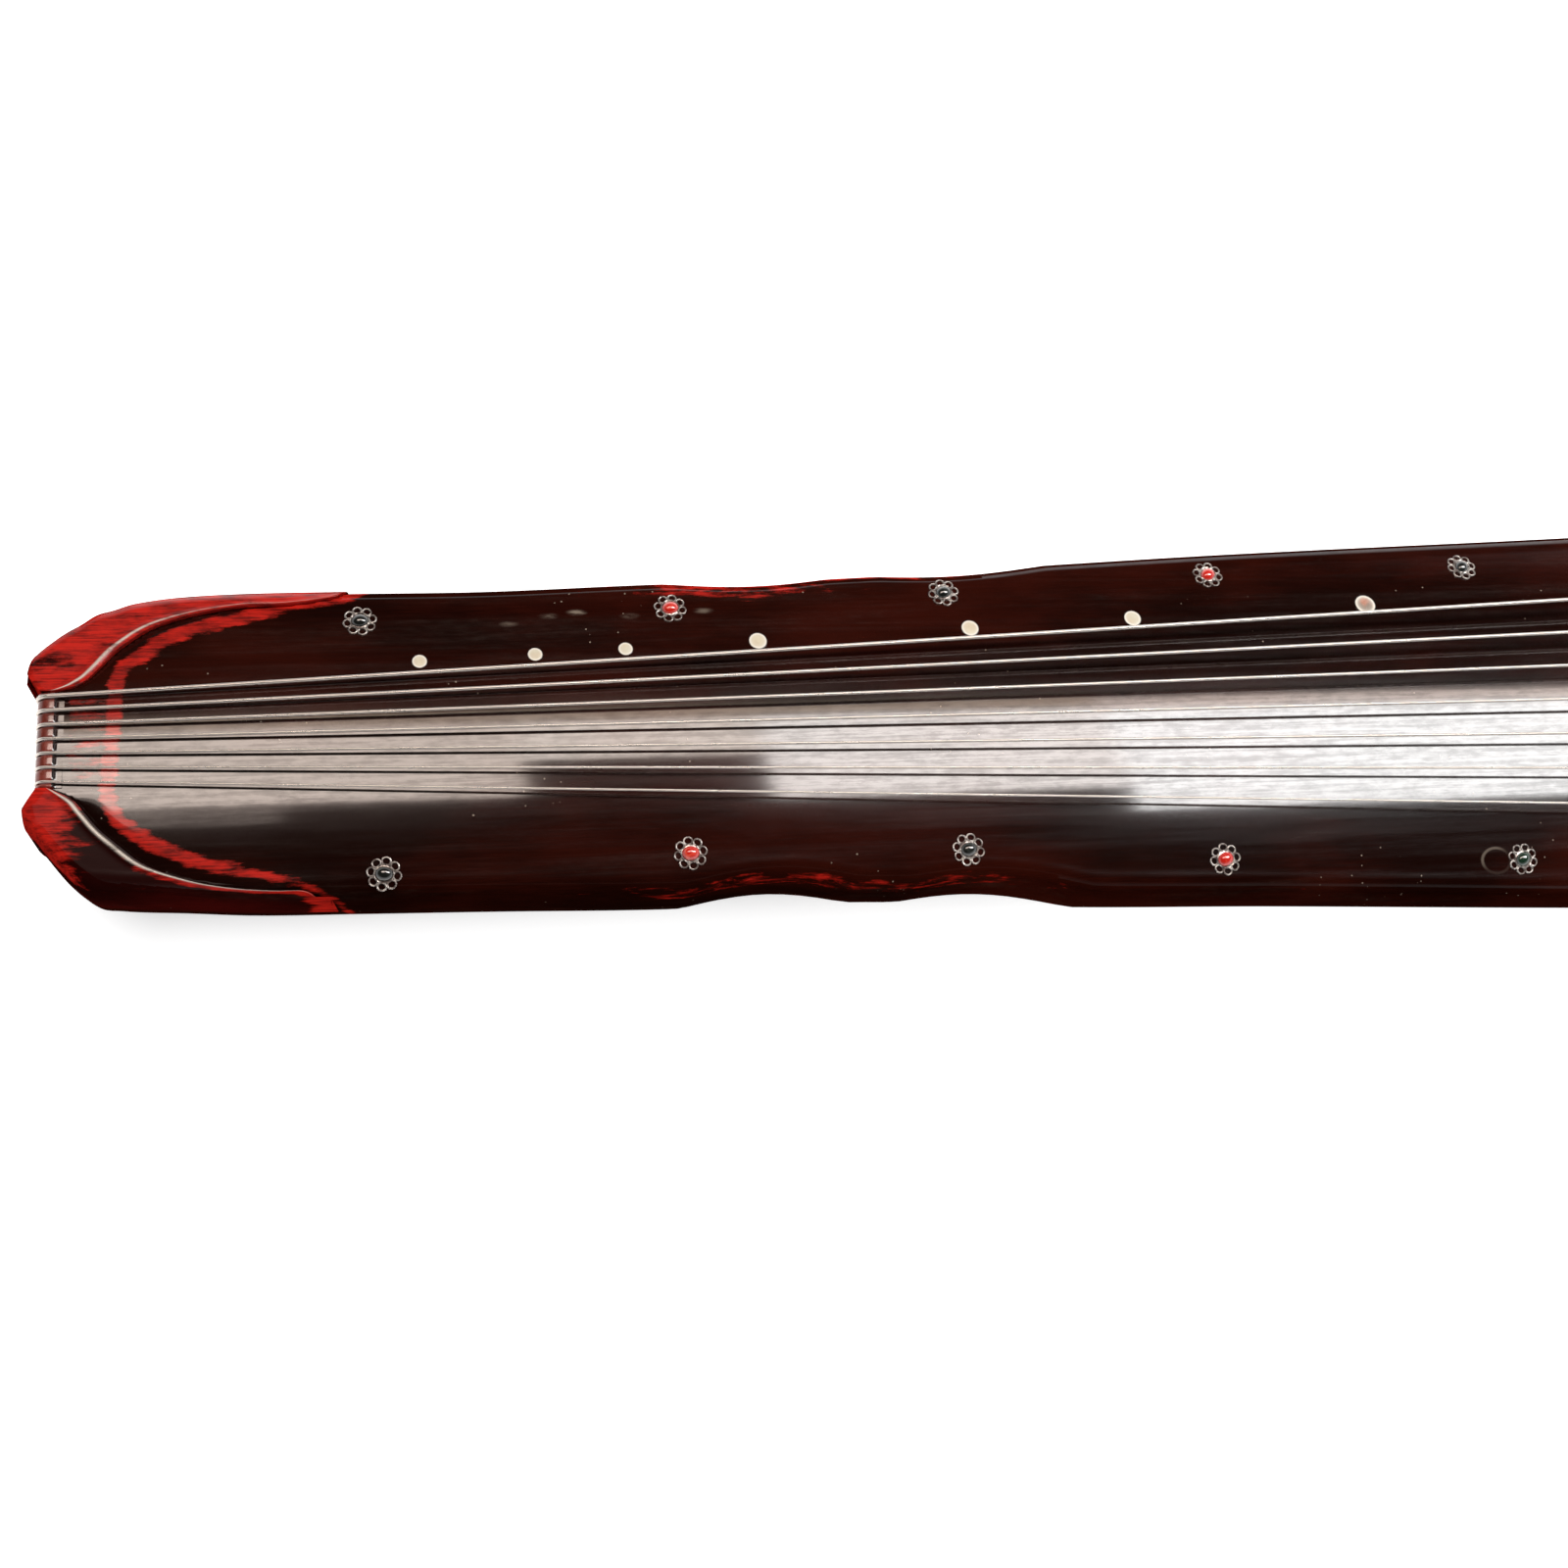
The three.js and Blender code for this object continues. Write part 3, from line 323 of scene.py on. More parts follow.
# Tuning cords. Seven doubled cords of twisted dark red silk, one from each peg: up through the head,
# forward over the strip, round the string before its knot, and back down beside itself.
CORD_DIAMETER, CORD_GAP, CORD_SPREAD, CORD_TWIST = 1.9, 0.5, 1.4, 5.0
CORD_BEND, CORD_IN_PEG = 3.2, 10.0
HOLE_PLACE, PEG_ROW_SPAN, PEG_ROW_SHIFT, PEG_TOP = 1133.0, 132.0, -3.0, 7.7
STRIP_TOP, BRIDGE_TOP_DEPTH = 2.9, 6.0
ARCH_RADIUS, HEAD_REACH, HEAD_DROP = 330.0, 108.0, 5.0
TAIL_REACH, END_ROUND = 11.0, 5.0
HEAD_END = SCALE + HEAD_REACH
CORD_COLOUR, CORD_SHADE = (0.20, 0.020, 0.012, 1), (0.045, 0.006, 0.005, 1)


def crown(along):
    """Height of the crown line: level over the scale, falling with the square of the way over the head, and
    eased down by half a quarter round at both ends."""
    past = np.clip(along - SCALE, 0, None) / HEAD_REACH
    to_end = np.clip(np.minimum(along + TAIL_REACH, HEAD_END - along), 0, END_ROUND)
    eased = END_ROUND - np.sqrt(END_ROUND**2 - (END_ROUND - to_end) ** 2)
    return BODY_HEIGHT - HEAD_DROP * past**2 - eased / 2


def arched(along, across):
    """Height of the board's upper surface: the crown less across^2 / (2 * arch radius)."""
    return crown(along) - across**2 / (2 * ARCH_RADIUS)


def at_peg(number):
    return PEG_ROW_SPAN * (1 / 2 - number / 6) + PEG_ROW_SHIFT


def rounded_route(points, steps):
    """A curve through points, with so many steps between two: each stretch is the cubic whose slopes at its
    ends are half the way between the points on either side."""
    ends = np.concatenate([2 * points[:1] - points[1:2], points, 2 * points[-1:] - points[-2:-1]])
    a, b, c, d = (ends[i:len(ends) - 3 + i, None] for i in range(4))
    t = np.linspace(0, 1, steps, endpoint=False)[None, :, None]
    curve = b + t * (c - a) / 2 + t**2 * (a - 2.5 * b + 2 * c - d / 2) + t**3 * (1.5 * (b - c) + (d - a) / 2)
    return np.concatenate([curve.reshape(-1, points.shape[1]), points[-1:]])


def cord_route(number):
    """Points of one cord's middle line: up out of the peg, a quarter turn over the strip's hole, forward to
    the bridge, half a turn round the string, and the same way back on the other side."""
    half, hole, held = (CORD_DIAMETER + CORD_GAP) / 2, at_peg(number), at_bridge(number)
    rest = REST_GAP + CORD_DIAMETER / 2
    edge = arched(HOLE_PLACE, hole) + STRIP_TOP
    top = bridge_top(held) + STRING_DIAMETERS[number] + REST_GAP + rest
    brink, eye = SCALE + BRIDGE_TOP_DEPTH, KNOT_DIAMETER / 2 + rest
    eye_place = SCALE + KNOT_PLACE - eye
    turn, turn_back = quarter(6), np.linspace(0, np.pi, 6)[1:-1]

    def leg(side):
        return np.concatenate([
            [[HOLE_PLACE, hole + side * half, PEG_TOP - CORD_IN_PEG]],
            stacked(HOLE_PLACE - CORD_BEND * (1 - np.cos(turn)), hole + side * half,
                    edge + rest - CORD_BEND / 2 + CORD_BEND * np.sin(turn)),
            [[(HOLE_PLACE + brink) / 2, (hole + held) / 2 + side * half * CORD_SPREAD,
              (edge + top) / 2 + rest]],
            [[brink + KNOT_PLACE / 2, held + side * eye, top]]])

    bight = stacked(eye_place + CORD_BEND * (1 - np.sin(turn_back)), held + eye * np.cos(turn_back), top)
    return rounded_route(np.concatenate([leg(1), bight, leg(-1)[::-1]]), 12)


cord_finish, tree = finish("twisted_silk")
strand = clouds(tree, (900, 900, 900), 2.0)
dress(tree, Base_Color=blended(between(strand, 0.3, 0.7), CORD_COLOUR, CORD_SHADE), Sheen_Weight=0.4,
      Roughness=between(strand, 0.3, 0.7, 0.5, 0.75), height=strand)

for number in STRINGS:
    route = cord_route(number)
    going = unit(np.gradient(route, axis=0))
    back = np.where(np.arange(len(route)) < len(route) / 2, 1, -1)
    rings, run = rings_along(route, stacked(going[:, 1], -going[:, 0] + 0.2 * back, 0), CORD_DIAMETER / 2,
                             around=12, lobes=2, depth=0.22, pitch=CORD_TWIST)
    piece(f"silk_cord_{number + 1}", grid_mesh(rings, run), [cord_finish],
          [f"tuning_cord_{number + 1}"])


# Top board. One arched slab of light wood, hollowed below, thickly lacquered in dark brown over red. The red
# shows in a worn line round the tail and along handled edges. The sides are cut in twice at the waist.
SHOULDER_HALF = 97.5
FLANK = np.array([
    (-0.0099, 0.267, 0.267), (-0.0090, 0.350, 0.341), (-0.0060, 0.398, 0.380), (-0.0020, 0.443, 0.441),
    (0.0025, 0.487, 0.504), (0.0075, 0.525, 0.558), (0.0125, 0.569, 0.597), (0.0180, 0.590, 0.606),
    (0.0250, 0.620, 0.615), (0.0400, 0.648, 0.627), (0.0650, 0.663, 0.650), (0.1000, 0.666, 0.662),
    (0.1500, 0.668, 0.678), (0.2090, 0.693, 0.700), (0.2880, 0.715, 0.708), (0.3675, 0.771, 0.772),
    (0.4500, 0.825, 0.812), (0.5766, 0.889, 0.885), (0.7970, 1.000, 1.000), (0.9550, 0.959, 0.959),
    (1.0973, 0.923, 0.923)])
WAIST_BITES = ((0.2172, 0.2808), (0.2999, 0.3699))
WAIST_BITE_NEAR, WAIST_BITE_FAR = 4.7, 2.4
NECK_BITE, NECK_BITE_DEPTH = (0.802, 0.946), 11.0
HEAD_CORNER, UPPER_ROUND, BELLY_HEIGHT, FOOT_INSET, SEAM_HEIGHT = 16.0, 7.0, 22.0, 5.0, 11.3
CHAMBER, SIDE_WALL, BOARD_THICKNESS = (62.0, 1062.0), 13.0, 11.0
POOLS = ((596.0, 208.0), (150.0, 104.0))
PAD_HALF, PAD_MARGIN, PAD_HEIGHT = 25.5, 12.0, 32.0
SOCKET_ENDS, SOCKET_OUTSIDE = (301.7, 338.3), 54.3
NUT_SPACE, BOARD_END = 19.8, -4.7
HORN_END, HORN_SLANT, UNDERCUT_SLANT = -10.4, 1.41, 2.6
CORD_HOLE, CORNER_HEIGHT, UNDER_CORNER = 5.4, 20.0, 1.2
CORNER_FAR = np.array([
    (0.0018, 0.208), (0.0066, 0.225), (0.0107, 0.254), (0.0144, 0.302), (0.0206, 0.389), (0.0303, 0.478),
    (0.0402, 0.527), (0.0502, 0.559), (0.0638, 0.585), (0.0775, 0.589), (0.0878, 0.604), (0.0960, 0.628),
    (0.1010, 0.680)])
CORNER_NEAR = np.array([
    (0.0018, 0.218), (0.0078, 0.257), (0.0111, 0.304), (0.0159, 0.372), (0.0223, 0.439), (0.0286, 0.500),
    (0.0350, 0.541), (0.0477, 0.593), (0.0606, 0.622), (0.0736, 0.636), (0.0834, 0.641), (0.0883, 0.669),
    (0.0938, 0.728)])
WORN_LINE = np.array([
    (133, 104), (127, 90), (120, 75), (115, 65), (109, 61.5), (90, 58), (70.7, 52.2), (55, 48.3), (42, 43.1),
    (32, 36), (24.2, 28.6), (22.5, 18), (22, 0),
    (20.5, -22), (24, -31.5), (32, -38.8), (43.5, -46), (58, -51.5), (75, -56), (90, -59.5), (98, -63.5),
    (102, -68.5), (105, -76), (108, -90), (111, -104)], float)
WORN_WIDTH = 3.9
RECESS_SLOPE, RECESS_DEPTH, RECESS_FADE, RECESS_END = 0.17, 1.5, (88, 112), 118
CORNERS_END, TUCK_ENDS, FAR_TUCK_LATER = 116, (94, 97), 13
LACQUER, UNDERCOAT = (0.0072, 0.0014, 0.0007, 1), (0.031, 0.0042, 0.0020, 1)
WORN_RED, WORN_DARK = (0.56, 0.018, 0.011, 1), (0.15, 0.0075, 0.0055, 1)
# The first colour on the next line is the pale colour of a painted highlight on the tail corners' ridges; DUST
# is a real film of dust.
RIDGE_HIGHLIGHT_COLOUR, DUST = (0.56, 0.51, 0.45, 1), (0.30, 0.25, 0.20, 1)
SMUDGES = ((175, 47, 0.30), (191.5, 50.5, 0.30), (203, 52, 0.95), (225, 50, 0.26), (256, 52, 0.45))
SMUDGE_HALF = (5.2, 1.9)
GLUE_RING, GLUE_RING_HALF = (593, -70.5), (6.6, 5.3)
RING_FADE, RING_FADE_HALF = (588, -66), (11, 9)


def eased(value, low, high):
    """0 below low, 1 above high, and 3t^2 - 2t^3 between."""
    t = np.clip((value - low) / (high - low), 0, 1)
    return t * t * (3 - 2 * t)


def bell(value, half, power=2):
    """1 at no distance, falling to 1/e at half: exp(-|value / half|^power)."""
    return np.exp(-np.abs(value / half) ** power)


def smooth_through(table, column, place):
    """A smooth curve through a table's places and values: the cubic of each stretch takes the slope at an
    end from the rows on either side of it."""
    places, values = table[:, 0], table[:, column]
    steps = np.diff(values) / np.diff(places)
    slope = np.concatenate([steps[:1], (values[2:] - values[:-2]) / (places[2:] - places[:-2]), steps[-1:]])
    i = np.clip(np.searchsorted(places, place) - 1, 0, len(places) - 2)
    width = places[i + 1] - places[i]
    t = np.clip((place - places[i]) / width, 0, 1)
    bends = t * (1 - t) ** 2 * slope[i] + t * t * (t - 1) * slope[i + 1]
    return values[i] + (values[i + 1] - values[i]) * eased(t, 0, 1) + width * bends


def half_width(along, side):
    """Distance from the centre line to the board's edge: the smooth flank, less a half sine wave for each
    bite of the waist and neck, less a quarter round at the head's corner."""
    share = np.asarray(along, float) / SCALE
    column, waist_depth = (1, WAIST_BITE_FAR) if side > 0 else (2, WAIST_BITE_NEAR)
    half = SHOULDER_HALF * smooth_through(FLANK, column, share)
    for (start, end), depth in ((WAIST_BITES[0], waist_depth), (WAIST_BITES[1], waist_depth),
                                (NECK_BITE, NECK_BITE_DEPTH)):
        half = half - depth * np.sin(np.pi * np.clip((share - start) / (end - start), 0, 1))
    into = np.clip(along - (HEAD_END - HEAD_CORNER), 0, HEAD_CORNER)
    return half - HEAD_CORNER + np.sqrt(HEAD_CORNER**2 - into**2)


def side_inset(height):
    """How far the side leans in below the belly, growing with the power 1.8 of the way down."""
    return FOOT_INSET * np.clip(1 - height / BELLY_HEIGHT, 0, 1) ** 1.8


def skin_height(along, across, side):
    """Height of the body's outer skin: the arch up to the shoulder, then a quarter round to the side."""
    half = half_width(along, side)
    turn = np.minimum(UPPER_ROUND, half / 2)
    shoulder = half - turn
    into = np.clip(across - shoulder, 0, turn)
    return arched(along, np.minimum(across, shoulder)) - (turn - np.sqrt(np.clip(turn**2 - into**2, 0, None)))


def off_line(along, across, line):
    """Signed distance from a plan line, positive on its left as it runs: to the nearest stretch, whose side
    gives the sign."""
    start, step = line[:-1], np.diff(line, axis=0)
    place = np.stack([along, across], -1).reshape(-1, 1, 2)
    t = np.clip(np.sum((place - start) * step, -1) / np.sum(step**2, -1), 0, 1)
    gap = place - (start + t[..., None] * step)
    far = np.linalg.norm(gap, axis=-1)
    nearest = np.argmin(far, axis=1)
    pick = np.arange(len(nearest))
    turn = step[nearest, 0] * gap[pick, nearest, 1] - step[nearest, 1] * gap[pick, nearest, 0]
    return (np.where(turn >= 0, 1, -1) * far[pick, nearest]).reshape(np.shape(along))


def corner_edge(side):
    """Plan line of one tail corner's inner edge, from the nut out to the flank."""
    table = CORNER_FAR if side > 0 else CORNER_NEAR
    inner = np.stack([table[:, 0] * SCALE, table[:, 1] * SHOULDER_HALF], 1)
    return rounded_route(np.concatenate([[[-1.0, NUT_SPACE]], inner]), 8)


def clear_of_nut(along, across, side_half):
    """Across beyond the board's end: places outside the nut's space move out to a slanted cut, which is set
    back under the corner."""
    cut = np.minimum(NUT_SPACE + UNDERCUT_SLANT * np.clip(BOARD_END - along, 0, None), side_half - 0.3)
    outside = np.abs(across) >= np.minimum(NUT_SPACE, side_half - UPPER_ROUND) - 0.01
    return np.where(outside & (along < BOARD_END), np.sign(across) * np.maximum(np.abs(across), cut), across)


def slab_mesh(over, under, keep, masks=None):
    """A slab between two grids of places with the same rows and columns. Cells that aren't kept are left
    open, and every edge of a kept cell beside an open one gets a wall. With masks the lower face is
    material 1, and the walls and the upright sides are material 2."""
    columns = over.shape[1]
    count = over.shape[0] * columns
    r, c = np.nonzero(keep)
    first = r * columns + c
    corners = np.stack([first, first + 1, first + columns + 1, first + columns], 1)
    beside = np.pad(keep, 1)
    walls = []
    for down, along, i, j in ((-1, 0, 0, 1), (0, 1, 1, 2), (1, 0, 2, 3), (0, -1, 3, 0)):
        a, b = corners[~beside[r + 1 + down, c + 1 + along]][:, [i, j]].T
        walls.append(np.stack([b, a, a + count, b + count], 1))
    faces = np.concatenate([corners, *walls, corners[:, ::-1] + count])
    places = np.concatenate([over.reshape(-1, 3), under.reshape(-1, 3)])
    mesh = bpy.data.meshes.new("slab")
    mesh.from_pydata(in_frame(*places.T).tolist(), [], faces.tolist())
    if masks:
        finish_of = np.full(len(faces), 2, np.int32)
        finish_of[:len(corners)] = 2 * (masks["side"][:-1, :-1][keep] > 0.9)
        finish_of[len(faces) - len(corners):] = 1
        mesh.polygons.foreach_set("material_index", finish_of)
        for mask, values in masks.items():
            mark(mesh, mask, np.tile(values.ravel(), 2))
    return mesh


def radii_off(tree, along, across, half):
    """Distance from a place on the board, in half lengths of an oval."""
    middle = [float(axis) for axis in in_frame(along, across, 0.0)]
    gap = wired(tree, "VectorMath", {0: own_place(tree), 1: middle}, operation="SUBTRACT")
    flat = wired(tree, "VectorMath", {0: gap, 1: (1000 / half[0], 1000 / half[1], 0)}, operation="MULTIPLY")
    return wired(tree, "VectorMath", {0: flat}, operation="LENGTH")["Value"]


def rubbed_lacquer_and_painted_highlight():
    """Node group: dark lacquer that is thin in clouds, rubbed through to red in streaks along the board
    where the mask is high, with a film of dust wiped along it, and a pale painted highlight where the highlight
    mask is high."""
    group = bpy.data.node_groups.new("rubbed_lacquer_and_painted_highlight", "ShaderNodeTree")
    for way, kind, names in (
            ("INPUT", "Float", ("Rub", "Painted Highlight")), ("OUTPUT", "Color", ("Color",)),
            ("INPUT", "Color", ("Lacquer", "Undercoat", "Worn", "Worn Dark", "Highlight Colour", "Dust")),
            ("OUTPUT", "Float", ("Roughness", "Height", "Polish"))):
        for name in names:
            group.interface.new_socket(name, in_out=way, socket_type="NodeSocket" + kind)
    given = Value(group.nodes.new("NodeGroupInput"))
    streaks = clouds(group, (45, 520, 420), 5.0, 0.7, 0.4)
    flakes = clouds(group, (90, 260, 260), 4.0, 0.65)
    fine_streaks = clouds(group, (60, 1500, 1200), 4.0, 0.7, 0.3)
    wiped = clouds(group, (6, 150, 60), 5.0, 0.65, 0.5)
    scuffed = clouds(group, (160, 520, 300), 3.0, 0.6, 0.2)
    thin = between(clouds(group, (7, 16, 16), 4.0) + fine_streaks * 0.25, 0.50, 0.82)
    motes = wired(group, "TexVoronoi", {"Vector": own_place(group), "Scale": 210.0})["Distance"]
    speck = between(motes, 0.10, 0.05) * between(clouds(group, (24, 24, 24), 2.0), 0.57, 0.62)
    film = between(wiped, 0.50, 0.80) * between(scuffed, 0.35, 0.75, 0.2, 1.0)
    film = (film * 0.035).math("MAXIMUM", speck * 0.9)
    patchy = between(scuffed, 0.36, 0.60, 0.15, 1.0)
    for along, across, strength in SMUDGES:
        smudge = between(radii_off(group, along, across, SMUDGE_HALF), 1.0, 0.0, 0.0, strength)
        film = film.math("MAXIMUM", smudge * patchy)
    ring = between((radii_off(group, *GLUE_RING, GLUE_RING_HALF) - 1.0).math("ABSOLUTE"), 0.16, 0.03, 0.0, 0.30)
    faded = between(radii_off(group, *RING_FADE, RING_FADE_HALF), 0.45, 1.0, 1.3, 0.2)
    film = film.math("MAXIMUM", ring * faded)
    dusted = blended(film, blended(thin, given["Lacquer"], given["Undercoat"]), given["Dust"])
    tone = between(fine_streaks * 0.55 + flakes * 0.45, 0.38, 0.60)
    bare = between(given["Rub"] + ((streaks - 0.5) * 0.9 + (flakes - 0.5) * 0.8), 0.34, 0.66)
    colour = blended(bare, dusted, blended(tone, given["Worn Dark"], given["Worn"]))
    # A pale painted highlight where the highlight mask is high, broken a little by flakes.
    edge = given["Painted Highlight"] * between(flakes, 0.34, 0.46, 0.45, 1.0)
    dull = bare * 0.20 + between(wiped, 0.3, 0.75, 0.14, 0.30)
    swell = clouds(group, (9, 26, 20), 2.0, 0.4) + bare * -0.08
    peel = clouds(group, (160, 260, 260), 2.0) * 0.04 + swell
    brushed = clouds(group, (16, 700, 400), 5.0, 0.7, 0.3) * 0.55
    brushed = brushed + clouds(group, (110, 330, 300), 4.0, 0.7) * 0.45
    feed(group.nodes.new("NodeGroupOutput"), {
        "Color": blended(edge, colour, given["Highlight Colour"]), "Roughness": (scuffed - 0.5) * 0.10 + dull,
        "Height": clouds(group, (10, 420, 300), 4.0, 0.6, 0.4) * 0.06 + peel,
        "Polish": between(brushed, 0.40, 0.58, 0.66, 1.0)})
    return group


lacquer_group = rubbed_lacquer_and_painted_highlight()


def mask_of(tree, name):
    return wired(tree, "Attribute", attribute_name=name)["Fac"]


def lacquered(name, gloss, colours, **values):
    """A lacquer finish that reads the piece's own masks: rub for wear, edge for a painted highlight, and
    side, where the polish stops and the lacquer is left dull."""
    made, tree = finish(name)
    side = mask_of(tree, "side")
    use = wired(tree, "Group", node_tree=lacquer_group)
    feed(use.node, {"Rub": mask_of(tree, "rub"), "Painted Highlight": mask_of(tree, "edge"), **colours})
    dress(tree, Base_Color=use["Color"], Roughness=use["Roughness"].math("MAXIMUM", side * 0.5),
          Coat_Weight=between(side, 0.0, 1.0, gloss, 0.0) * use["Polish"], height=use["Height"], rise=0.0005,
          **values)
    return made


dark_tones = {"Lacquer": LACQUER, "Undercoat": UNDERCOAT, "Worn": WORN_RED, "Worn Dark": WORN_DARK,
              "Highlight Colour": RIDGE_HIGHLIGHT_COLOUR, "Dust": DUST}
dark_lacquer = lacquered("dark_lacquer", 1.0, dark_tones, Coat_Roughness=0.075, Coat_IOR=1.72,
                         Specular_IOR_Level=0.09)
dull_lacquer = lacquered("dull_dark_lacquer", 0.0, dark_tones, Specular_IOR_Level=0.0)
bare_wood, tree = finish("planed_wood")
growth = clouds(tree, (14, 240, 240), 5.0, 0.6, 0.6)
planed = blended(growth, (0.55, 0.33, 0.15, 1), (0.34, 0.18, 0.075, 1))
dress(tree, Base_Color=blended(mask_of(tree, "side"), planed, (0.016, 0.006, 0.004, 1)),
      Roughness=between(growth, 0.2, 0.8, 0.55, 0.75), height=growth, rise=0.0002)

holes = at_peg(STRINGS)
FINE_TO, FINE_STEP, COARSE_STEP = 125, 1.25, 5.0
HEAD_ENDS = [HEAD_END - back for back in (6, 4, 2, 0.8, 0)]
near_ends = [-10.6, -9.8, -8.6, -7.0, *HEAD_ENDS]
fine = [*np.arange(-TAIL_REACH, FINE_TO, FINE_STEP), *np.arange(FINE_TO, HEAD_END - 6, COARSE_STEP)]
pads = [place for start, length in POOLS for place in (start - PAD_MARGIN, start + length + PAD_MARGIN)]
stops = [BOARD_END, *SOCKET_ENDS, *CHAMBER, *(p + s for p in pads for s in (-0.5, 0.5)),
         HOLE_PLACE - CORD_HOLE / 2, HOLE_PLACE + CORD_HOLE / 2, CHAMBER[0] - 0.01, CHAMBER[1] + 0.01]
places = np.unique(np.round([*fine, *near_ends, *stops], 3))
SIDE_LEVELS = np.array([SEAM_HEIGHT, 14.0, 17.0, 19.9, 20.1, BELLY_HEIGHT])
ROUND_STEPS, ARCH_STEPS, CENTRE_STEPS = 8, 22, 15


def shares(steps):
    """Shares of the way in so many steps, without the start."""
    return np.linspace(0, 1, steps + 1)[1:]


def half_section(side):
    """Across and up from the seam to the centre line: the side with its lean, the quarter round, the arch
    to the nut's width, and the arch on to the centre."""
    x = places[:, None]
    half = half_width(x, side)
    turn = np.minimum(UPPER_ROUND, half / 2)
    shoulder = half - turn
    top = arched(x, shoulder) - turn
    side_up = np.concatenate([SIDE_LEVELS + 0 * x, BELLY_HEIGHT + (top - BELLY_HEIGHT) * shares(3)], 1)
    angle = quarter(ROUND_STEPS + 1)[1:]
    arch = shoulder + (NUT_SPACE - shoulder) * shares(ARCH_STEPS)
    centre = NUT_SPACE * (1 - shares(CENTRE_STEPS)) + 0 * x
    across = np.concatenate([half - side_inset(side_up), shoulder + turn * np.cos(angle), arch, centre], 1)
    return across, np.concatenate([side_up, top + turn * np.sin(angle), arched(x, arch), arched(x, centre)], 1)


def both_halves(half):
    """Across and up of whole rows, from the far edge to the near one, and where they lie along."""
    (far, far_up), (near, near_up) = half(1), half(-1)
    across = np.concatenate([far, -near[:, -2::-1]], 1)
    return across, np.concatenate([far_up, near_up[:, -2::-1]], 1), places[:, None] + 0 * across


across, up, along = both_halves(half_section)
edges = (holes[:, None] + np.array([-1, 1]) * CORD_HOLE / 2).ravel()
for row in np.nonzero(np.abs(places - HOLE_PLACE) < CORD_HOLE / 2 + 0.1)[0]:
    across[row, np.argmin(np.abs(across[row][:, None] - edges), axis=0)] = edges
flank = np.where(across > 0, half_width(along, 1), half_width(along, -1))
uncut, across = across, clear_of_nut(along, across, flank)
unrolled = across + np.sign(across) * np.clip(arched(along, across) - up, 0, None)
from_line = off_line(along, unrolled, rounded_route(WORN_LINE, 8))
under_corner = np.zeros_like(across)
for side in (1, -1):
    inside = off_line(along, across, corner_edge(side) * (1, side)) * side
    below = eased(inside, 0.2, 1.4) * (across * side > NUT_SPACE) * (along < CORNERS_END)
    under_corner = np.maximum(under_corner, below)
on_top = up > arched(along, across) - 2.5
sunk = np.clip(RECESS_SLOPE * (-from_line - 1.5), 0, RECESS_DEPTH) * eased(np.abs(across), 23, 38)
sunk = sunk * (1 - eased(along, *RECESS_FADE)) * (along < RECESS_END)
up = up - on_top * sunk * (1 - under_corner) - under_corner * (UNDER_CORNER + 0.4) * (up > 21)
tuck = (up > CORNER_HEIGHT) * np.clip((np.abs(across) - 20) / 8, 0, 1) * (~on_top | (under_corner > 0))
later = np.where(across > 0, FAR_TUCK_LATER, 0)
tuck = tuck * (1 - eased(along - later, TUCK_ENDS[0], TUCK_ENDS[1] + (BODY_HEIGHT - up) * 0.25))
across = across - np.sign(across) * 0.9 * tuck * under_corner.max(axis=1, keepdims=True)
over = stacked(along, across, up)

halves = np.where(along < 5, (flank + NUT_SPACE) / 2, flank - SIDE_WALL)
seam_half = flank - side_inset(SEAM_HEIGHT)
socket_rows = (places > SOCKET_ENDS[0] - 0.01) & (places < SOCKET_ENDS[1] + 0.01)
halves[socket_rows] = np.maximum(halves[socket_rows], SOCKET_OUTSIDE)
side_columns = len(SIDE_LEVELS) + 3
last = across.shape[1] - 1
from_edge = np.minimum(np.arange(last + 1), last - np.arange(last + 1))
rim = seam_half + (halves - seam_half) * np.clip(from_edge / side_columns, 0, 1)
inner = np.where(from_edge < side_columns, np.sign(across) * rim, np.clip(across, -halves, halves))
inner = clear_of_nut(along, inner, flank)
hollow = ((places > CHAMBER[0] - 0.001) & (places < CHAMBER[1] + 0.001))[:, None]
roof = arched(along, inner) - BOARD_THICKNESS
for start, length in POOLS:
    on_pad = (along > start - PAD_MARGIN) & (along < start + length + PAD_MARGIN) & (np.abs(inner) < PAD_HALF)
    roof = np.where(on_pad, PAD_HEIGHT, roof)
wall_rise = np.clip((from_edge - side_columns) / ROUND_STEPS, 0, 1)
under = stacked(along, inner, SEAM_HEIGHT + (roof - SEAM_HEIGHT) * wall_rise * hollow)
middle_along = (places[:-1] + places[1:])[:, None] / 2
middle_across = (uncut[:-1, :-1] + uncut[1:, 1:]) / 2
keep = ~((middle_along < BOARD_END) & (np.abs(middle_across) < NUT_SPACE))
in_hole = np.min(np.abs(middle_across[..., None] - holes), -1) < CORD_HOLE / 2
keep &= ~(in_hole & (np.abs(middle_along - HOLE_PLACE) < CORD_HOLE / 2) & (from_edge[:-1] > side_columns))

